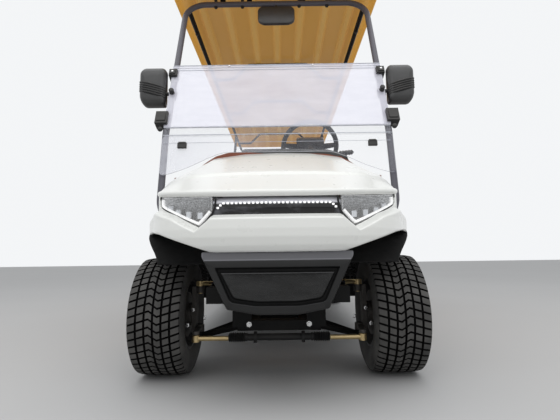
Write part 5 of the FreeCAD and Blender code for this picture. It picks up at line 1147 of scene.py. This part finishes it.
def moulding(rows, along=False):
    """A skin over rows of points and a face on either end of them."""
    count, columns = len(rows), len(rows[0])
    faces = turned(grid_faces(count, columns, along=along))
    ends = [[r * columns for r in range(count)], [r * columns + columns - 1 for r in range(count)][::-1]]
    return np.vstack(rows), faces + ends


dash = mesh_piece("dash_moulding", *moulding(rows, along=True), dash_skin, 40)
fit(bevelled(dash, 0.003), "chassis", "dash_brown", "dashboard")
visor_x = np.linspace(-0.15, 0.335, 50)
visor_ends = 0.03 * eased(np.abs(visor_x - 0.0925), 0.225, 0.2425) ** 2
visor_top = np.interp(visor_x, [-0.15, -0.05, 0.1, 0.335], [0.954, 0.96, 0.956, 0.932]) - visor_ends
rows = []
for y, drop in ((0.17, -0.05), (0.168, -0.01), (0.171, -0.003), (0.18, 0.0), (0.235, 0.004), (0.29, 0.001),
                (0.298, -0.006), (0.3, -0.05)):
    rows.append(at(visor_x, y, visor_top + drop))
gauge = mottled("satin_black_plastic", (12, 4), (grey(0.012), grey(0.028)), (0.3, 0.12, 60),
                (800, 2, 0.0002, 0.4), Coat_Weight=0.4, Coat_Roughness=0.2)
trim_x = np.linspace(-0.165, 0.318, 60)
trim_low = crest_z(trim_x) + np.interp(trim_x, [-0.165, -0.06, 0.265, 0.318], [0.001, -0.015, -0.015, -0.001])
trim_high = crest_z(trim_x) + np.interp(trim_x, [-0.165, -0.15, -0.05, 0.29, 0.318],
                                        [0.003, 0.011, 0.008, 0.0075, 0.0])
trim_line = ((0.121, trim_low, 0.0), (0.1188, trim_low, 0.001), (0.1188, trim_high, -0.005),
             (0.1215, trim_high, 0.0), (0.15, trim_high, 0.001), (0.183, trim_high, -0.001),
             (0.186, trim_low, -0.02))
trim_rows = [at(trim_x, y, level + drop) for y, level, drop in trim_line]
fit(mesh_piece("crest_trim", *moulding(trim_rows), gauge, 40), "chassis", "black_moulding")
fit(mesh_piece("instrument_visor", *moulding(rows), gauge, 40), "chassis", "black_moulding")
LEAN = math.radians(38)
HUB_AT = spot(0.2, 0.8, 1.145)
DOWN_COLUMN = np.array([0, -math.cos(LEAN), -math.sin(LEAN)])
WHEEL_UP = np.array([0, -math.sin(LEAN), math.cos(LEAN)])


def on_wheel(right, up, out):
    """A point in the wheel's own plane, out towards the driver."""
    return HUB_AT + np.array([1, 0, 0]) * right + WHEEL_UP * up - DOWN_COLUMN * out


turn = np.linspace(0, 2 * math.pi, 97)[:-1]
sides = np.linspace(0, 2 * math.pi, 17)[:-1]
grip_radius = 0.0148 + 0.0004 * np.cos(turn * 24)
big = 0.168 + grip_radius[:, None] * np.cos(sides)
out = grip_radius[:, None] * np.sin(sides)
rim_points = np.array([[on_wheel(b * math.cos(a), b * math.sin(a), o) for b, o in zip(row, outs)]
                       for a, row, outs in zip(turn, big, out)])
rim_part = (rim_points.reshape(-1, 3), grid_faces(96, 16, around=True, along=True))
grip_skin = mottled("foam_grip", (60, 4), (grey(0.01), grey(0.024)), (0.55, 0.2, 200), (500, 3, 0.0004, 0.7),
                    Specular_IOR_Level=0.35)
fit(mesh_piece("wheel_grip", *rim_part, grip_skin, 60), "steering_wheel", "grip", "steering_wheel")


def slab(outline, low, high, dome=0.0):
    """A plate in the wheel's plane whose top edge is rounded over by shrinking outlines."""
    outline = np.asarray(outline, float)
    middle = outline.mean(axis=0)
    steps = [(low, 0.96), (low + 0.002, 1.0), (high - 0.003, 1.0)] \
        + [(high - 0.003 + 0.003 * math.sin(t) + dome * (1 - math.cos(t)), 1 - 0.1 * (1 - math.cos(t)))
           for t in np.linspace(0.3, math.pi / 2, 6)]
    rows = [np.array([on_wheel(*(middle + (p - middle) * share), level) for p in outline])
            for level, share in steps]
    return np.vstack(rows), tube_faces(len(rows), len(outline))


hub = corner_line([(-0.09, 0.064), (0.09, 0.064), (0.074, -0.03), (0.03, -0.062), (-0.03, -0.062),
                   (-0.074, -0.03)], 0.022, 8, 5)
spoke_left = corner_line([(-0.165, 0.004), (-0.165, 0.03), (-0.045, 0.022), (-0.045, -0.018), (-0.1, -0.01)],
                         0.008, 5, 4)
spoke_right = corner_line([(0.165, 0.03), (0.165, 0.004), (0.1, -0.01), (0.045, -0.018), (0.045, 0.022)],
                          0.008, 5, 4)
spoke_low = corner_line([(-0.016, -0.164), (0.016, -0.164), (0.022, -0.05), (-0.022, -0.05)], 0.006, 5, 4)


def wound(outline):
    """The outline, counter-clockwise."""
    x, y = outline[:, 0], outline[:, 1]
    return outline if (x * np.roll(y, -1) - y * np.roll(x, -1)).sum() > 0 else outline[::-1]


parts = [slab(wound(hub), -0.024, 0.01, 0.004)]
parts += [slab(wound(spoke), -0.01, 0.002) for spoke in (spoke_left, spoke_right, spoke_low)]
fit(mesh_piece("wheel_hub", *joined(parts), gauge, 40), "steering_wheel", "grip")
SHROUD = [(0.03, 0.026), (0.034, 0.034), (0.08, 0.038), (0.15, 0.042), (0.225, 0.041), (0.24, 0.032),
          (0.246, 0.019), (0.62, 0.019)]  # distance down the column and radius
shroud_line = np.array([HUB_AT + DOWN_COLUMN * d for d, _ in SHROUD])
shroud = rod_along(shroud_line, DOWN_COLUMN, [r for _, r in SHROUD], 40)
lever_from = HUB_AT + DOWN_COLUMN * 0.13
lever_line = through([lever_from, lever_from + (0.08, 0.01, 0.006), lever_from + (0.16, 0.022, 0.014),
                      lever_from + (0.262, 0.03, 0.026)], 50)
along = np.linspace(0, 1, 50)
lever_radius = np.where(along > 0.66, 0.0148 + 0.0015 * np.cos((along - 0.62) * 90), 0.0065)
lever_radius[-1], lever_radius[-2] = 0.006, 0.011
fit(mesh_piece("column_shroud", *joined([shroud, rod(lever_line, lever_radius, 18)]), gauge, 40), "chassis",
    "black_moulding", "steering_column")


# Under the nose: wound springs on their rods, rubber boots and clamps on a slim rack housing, and plated
# bolts through the arms' and the uprights' joints.
def coil(centre, low, high, radius, wire, turns):
    """A wire that climbs with its turns: z follows the angle, slower over the flat end coils."""
    share = np.linspace(0, 1, int(turns * 22))
    pace = share + 0.035 * np.sin(2 * math.pi * share) * 0.6
    angle = share * turns * 2 * math.pi
    line = np.stack([centre[0] + radius * np.cos(angle), centre[1] + radius * np.sin(angle),
                     low + wire + (high - low - 2 * wire) * pace], -1)
    return rod(line, wire, 8, (0.0, 0.001, 1.0))


X_AXIS, Z_AXIS = np.array([1.0, 0, 0]), np.array([0, 0, 1.0])
spring_paint = powder("black_spring_paint", grey(0.018), 0.3, 0.06)
parts = []
for side in (-1, 1):
    middle = spot(side * 0.292, 0, 0)
    parts.append(coil(middle, 0.3605, 0.4415, 0.0205, 0.0042, 5))
    parts.append(rod_along(np.array([middle + (0, 0, z) for z in (0.361, 0.38, 0.4405)]), Z_AXIS,
                           [0.01, 0.01, 0.01], 16))
    parts += [rod_along(np.array([middle + (0, 0, z) for z in pair]), Z_AXIS, [0.024, 0.024], 24)
              for pair in ((0.3603, 0.3632), (0.439, 0.4418))]
fit(mesh_piece("spring_coils", *joined(parts), spring_paint, 50), "chassis", "frame_black", "coil_springs")
rack_box = np.array([v.co for v in NODES["rack_housing"].data.vertices])
rack_y, rack_z = ((rack_box.min(axis=0) + rack_box.max(axis=0)) / 2)[1:]
reach = rack_box[:, 0].max()
boot = [(x, 0.0185 if round((x - 0.128) / (reach - 0.13) * 18) % 2 else 0.0135)
        for x in np.linspace(0.128, reach - 0.002, 19)]
right = [(0.118, 0.0125), (0.12, 0.015), (0.124, 0.015)] + boot + [(reach, 0.011)]
profile = [(-x, r) for x, r in right[::-1]] + right
tube_part = rod_along(np.array([(x, rack_y, rack_z) for x, _ in profile]), X_AXIS, [r for _, r in profile],
                      28)
clamps = [rod_along(np.array([(x + d, rack_y, rack_z) for d in (0, 0.012)]), X_AXIS, [0.0205, 0.0205], 28)
          for x in (-0.095, 0.083)]
rack_black = powder("rack_rubber", grey(0.014), 0.5, 0.05)
fit(mesh_piece("rack_tube", *joined([tube_part] + clamps), rack_black, 50), "chassis", "frame_black",
    "rack_housing")
bolts = []
for side in (-1, 1):
    for y in (-0.131, 0.131):
        bolts.append(pin(spot(side * 0.112, y, 0.205), (0, y, 0),
                         [(-0.004, 0.0105), (0.004, 0.0105), (0.0045, 0.0075), (0.01, 0.0065)], 6))
fit(mesh_piece("arm_bolts", *joined(bolts), chrome, 40), "chassis", "bare_steel")
knuckle_bolts = {"left": [], "right": []}
for hand, side in (("left", -1), ("right", 1)):
    block = np.array([v.co for v in NODES["upright_" + hand].data.vertices])
    for x, z in ((0.3, 0.262), (0.3, 0.215), (0.344, 0.25), (0.344, 0.205)):
        near = block[(np.abs(block[:, 0] - side * x) < 0.02) & (np.abs(block[:, 2] - z) < 0.03)]
        if len(near):
            knuckle_bolts[hand].append(pin(np.array([side * x, near[:, 1].min(), z]), (0, -1, 0),
                                           [(-0.002, 0.0085), (0.004, 0.0085), (0.0045, 0.006),
                                            (0.009, 0.005)], 6))
    if knuckle_bolts[hand]:
        fit(mesh_piece("upright_bolts_" + hand, *joined(knuckle_bolts[hand]), chrome, 40), "knuckle_" + hand,
            "bare_steel")


# Floor and sills: a ribbed black rubber mat moulded on the floor, textured sills, and felt-like arch liners
# inside the wings. The pedals have ribbed rubber pads.
mat = Finish("ribbed_floor_mat", Specular_IOR_Level=0.35)
dust = (mat.noise(5, 6) * 1.6 - 0.55).clamped()
mat.set(Base_Color=mat.mix(dust * 0.5, grey(0.02), (0.09, 0.082, 0.07, 1)), Roughness=0.62 + dust * 0.25)
mat.bump((mat.part("X") * 420).math("SINE") * 0.5 + mat.noise(300, 2) * 0.2, 0.0016, 0.8)
sill = powder("textured_black_sill", grey(0.03), 0.52, 0.14, 700)
felt = mottled("black_liner", (25, 5), (grey(0.008), grey(0.02)), (0.85, 0.1, 80), (500, 4, 0.0008, 0.7),
               Specular_IOR_Level=0.2)
dress(mat, "floor_board", "pedals")
dress(sill, "rocker_panels", "front_seat_pod", "front_seat_board", "rear_seat_pod")
dress(felt, "arch_liners")
treads = []
for side in (-1, 1):
    for number in range(9):
        y = 0.56 + number * 0.135
        x0, x1 = sorted((side * 0.536, side * 0.566))
        treads.append(((x0 + x1) / 2, y + 0.05, 0.4125, (x1 - x0) / 2, 0.05, 0.0022))
fit(bevelled(mesh_piece("sill_treads", *blocks(treads), mat, 30), 0.0015), "chassis", "black_moulding")


# Seats: vinyl over foam on boards, sewn in three places across each bench with piping round the edge. The
# cover is sucked tight at its seams, so that each panel crowns between them.
vinyl = Finish("tan_vinyl", Coat_Roughness=0.35, Specular_IOR_Level=0.45)
tone = vinyl.noise(5, 5)
pores = vinyl.add("TexVoronoi", {"feature": "DISTANCE_TO_EDGE"}, Vector=vinyl.place, Scale=520.0)
vinyl.set(Base_Color=vinyl.mix(tone, (0.25, 0.098, 0.044, 1), (0.34, 0.145, 0.07, 1)), Roughness=0.42
          + vinyl.noise(40, 4) * 0.16, Coat_Weight=0.2)
vinyl.bump((pores * 5).clamped() + vinyl.noise(900, 2) * 0.3, 0.00035, 0.7)
piping_skin = mottled("dark_piping", (60,), ((0.06, 0.026, 0.014, 1), (0.095, 0.042, 0.024, 1)),
                      (0.45, 0.15, 90), Specular_IOR_Level=0.4)
LEAN_BACK, THIRDS, FRAMES = math.radians(8), (-0.157, 0.157), 20


def remeshed(name, points, faces, voxel):
    """The form rebuilt with an even net of quads."""
    mesh = bpy.data.meshes.new(name)
    mesh.from_pydata(points.tolist(), [], faces)
    form = bpy.data.objects.new(name, mesh)
    scene.collection.objects.link(form)
    step = form.modifiers.new("net", "REMESH")
    step.mode, step.voxel_size = "VOXEL", voxel
    bpy.context.view_layer.update()
    net = bpy.data.meshes.new_from_object(form.evaluated_get(bpy.context.evaluated_depsgraph_get()))
    form.modifiers.clear()
    form.data = net
    return form


def inflated(form, cap):
    """Blows the form up as a cloth skin over some frames and keeps every point within a cap."""
    count = len(form.data.vertices)
    before = np.empty(count * 3)
    form.data.vertices.foreach_get("co", before)
    before = before.reshape(-1, 3)
    skin = form.modifiers.new("skin", "CLOTH")
    skin.settings.quality = 4
    skin.settings.use_pressure = True
    skin.settings.uniform_pressure_force = 4.0
    skin.settings.effector_weights.gravity = 0.0
    skin.point_cache.frame_start, skin.point_cache.frame_end = 1, FRAMES
    for number in range(1, FRAMES + 1):
        scene.frame_set(number)
    blown = bpy.data.meshes.new_from_object(form.evaluated_get(bpy.context.evaluated_depsgraph_get()))
    after = np.empty(len(blown.vertices) * 3)
    blown.vertices.foreach_get("co", after)
    after = after.reshape(-1, 3)
    form.modifiers.clear()
    scene.frame_set(1)
    move = after - before
    length = np.linalg.norm(move, axis=1)[:, None]
    return before + move * np.minimum(1, cap / np.maximum(length, 1e-9))


def pad_form(half_x, half_v, half_w, round_off):
    """A box of rounded edges from its half sizes: loops of a rounded oblong, drawn in over each rim."""
    rows = []
    levels = [(-half_w, round_off)] + [(-half_w + round_off * (1 - math.sin(t)),
                                        round_off * (1 - math.cos(t)))
                                       for t in np.linspace(math.pi / 2, 0, 5)]
    levels += [(half_w - round_off * (1 - math.sin(t)), round_off * (1 - math.cos(t)))
               for t in np.linspace(0, math.pi / 2, 5)]
    for w, inset in levels:
        a, b = half_x - inset, half_v - inset
        loop = corner_line([(-a, -b), (a, -b), (a, b), (-a, b)], 0.035, 6, 10)
        rows.append(np.column_stack([loop, np.full(len(loop), w)]))
    return np.vstack(rows), tube_faces(len(rows), len(rows[0]))


def bench_pad(name, node, body, facing, upright, cross):
    """A pad in its solid's place: u across the cart, v up the back or rearwards, w out of the sat-on face.
    Its panels crown by 1 - (2s - 1)^4 between seams, and along a seam runs a valley exp(-(d / 7.5 mm)^2)."""
    solid = np.array([v.co for v in NODES[node].data.vertices])
    if upright:
        v_axis = np.array([0, facing * math.sin(LEAN_BACK), math.cos(LEAN_BACK)])
        w_axis = np.array([0, -facing * math.cos(LEAN_BACK), math.sin(LEAN_BACK)])
    else:
        v_axis, w_axis = np.array([0, facing, 0.0]), Z_AXIS
    axes = np.stack([X_AXIS, v_axis, w_axis])
    local = solid @ axes.T
    low, high = local.min(axis=0), local.max(axis=0)
    half, middle = (high - low) / 2, (high + low) / 2
    points, faces = pad_form(*(half - (0.006, 0.006, 0.007)), 0.022)
    faces = turned(faces, np.linalg.det(axes) < 0)
    form = remeshed(name, (points + middle - (0, 0, 0.004)) @ axes, faces, 0.0115)
    after = inflated(form, 0.011)
    at_pad = after @ axes.T - middle
    u, v, w = at_pad.T
    face = eased(w, half[2] * 0.15, half[2] * 0.75)
    lines = np.concatenate([[-half[0] - 0.012], THIRDS, [half[0] + 0.012]])
    place = np.clip(np.searchsorted(lines, u) - 1, 0, len(lines) - 2)
    share = (u - lines[place]) / (lines[place + 1] - lines[place])
    crown = (1 - np.abs(2 * share - 1) ** 4) * (1 - np.abs(v / (half[1] + 0.01)) ** 4)
    seams = np.min(np.abs(u[:, None] - np.asarray(THIRDS)[None, :]), axis=1)
    valley = np.exp(-(seams / 0.0075) ** 2) + 0.8 * np.exp(-((v - cross) / 0.0075) ** 2)
    w = w + face * (0.007 * crown - 0.013 * np.minimum(valley, 1) - 0.004)
    w = np.clip(w, -half[2], half[2] + 0.003)
    u = u - np.sign(u) * 0.004 * np.exp(-(np.abs(w) / 0.02) ** 2) * (np.abs(u) > half[0] - 0.03)
    form.data.vertices.foreach_set("co", ((np.stack([u, v, w], -1) + middle) @ axes).reshape(-1))
    form.data.materials.append(vinyl.material)
    form.data.polygons.foreach_set("use_smooth", np.ones(len(form.data.polygons), bool))
    finer = form.modifiers.new("finer", "SUBSURF")
    finer.levels = finer.render_levels = 1
    fit(form, body, "seat_tan", node)
    loops = []
    for level in (half[2] - 0.021, -half[2] + 0.02):
        a, b = half[0] - 0.0035, half[1] - 0.0035
        loop = corner_line([(-a, -b), (a, -b), (a, b), (-a, b)], 0.036, 10, 24)
        line = np.column_stack([loop, np.full(len(loop), level)])
        line = (line + middle) @ axes
        ring = np.vstack([line, line[:2]])
        loops.append(rod(ring, 0.0036, 8, (0.21, 0.13, 0.35) if not upright else (0.3, 0.8, 0.2)))
    fit(mesh_piece(name + "_piping", *joined(loops), piping_skin, 60), body, "seat_tan")


BENCHES = (("front", 1), ("middle", 1), ("rear", -1))  # and the side to which each one's back lies
for place, facing in BENCHES:
    body = "front_seat" if place == "front" else "chassis"
    bench_pad(place + "_cushion_pad", place + "_seat_cushion", body, facing, False, -0.115)
for place, facing in BENCHES:
    bench_pad(place + "_back_pad", place + "_backrest", "chassis", facing, True, 0.085)


# Rear body: glossy off-white plastic like the nose, with black trim round its arches, ribbed red lamps on
# its back, and a powder-coated footrest with grip strips on its ribs.
dress(white, "rear_body")
arch_trim = []
for side in (-1, 1):
    angle = np.radians(np.linspace(7.5, 172.5, 60))
    arch_trim.append(rod(at(side * 0.5985, WHEELBASE + 0.2885 * np.cos(angle),
                            CROWN + 0.2885 * np.sin(angle)), 0.0065, 10))
fit(mesh_piece("rear_arch_trim", *joined(arch_trim), black_grain, 50), "chassis", "black_moulding")
red = Finish("red_lamp_lens", Coat_Roughness=0.05, Emission_Strength=0.12)
red_tone = red.mix(red.noise(30), (0.42, 0.01, 0.008, 1), (0.58, 0.022, 0.016, 1))
red.set(Base_Color=red_tone, Emission_Color=red_tone, Roughness=0.12 + red.noise(60) * 0.08, Coat_Weight=0.8)
red.bump((red.part("X") * 700).math("SINE"), 0.0008, 0.7)
dress(red, "tail_lamps")
step_grip = powder("footrest_coat", grey(0.03), 0.5, 0.14)
dress(step_grip, "rear_footrest")
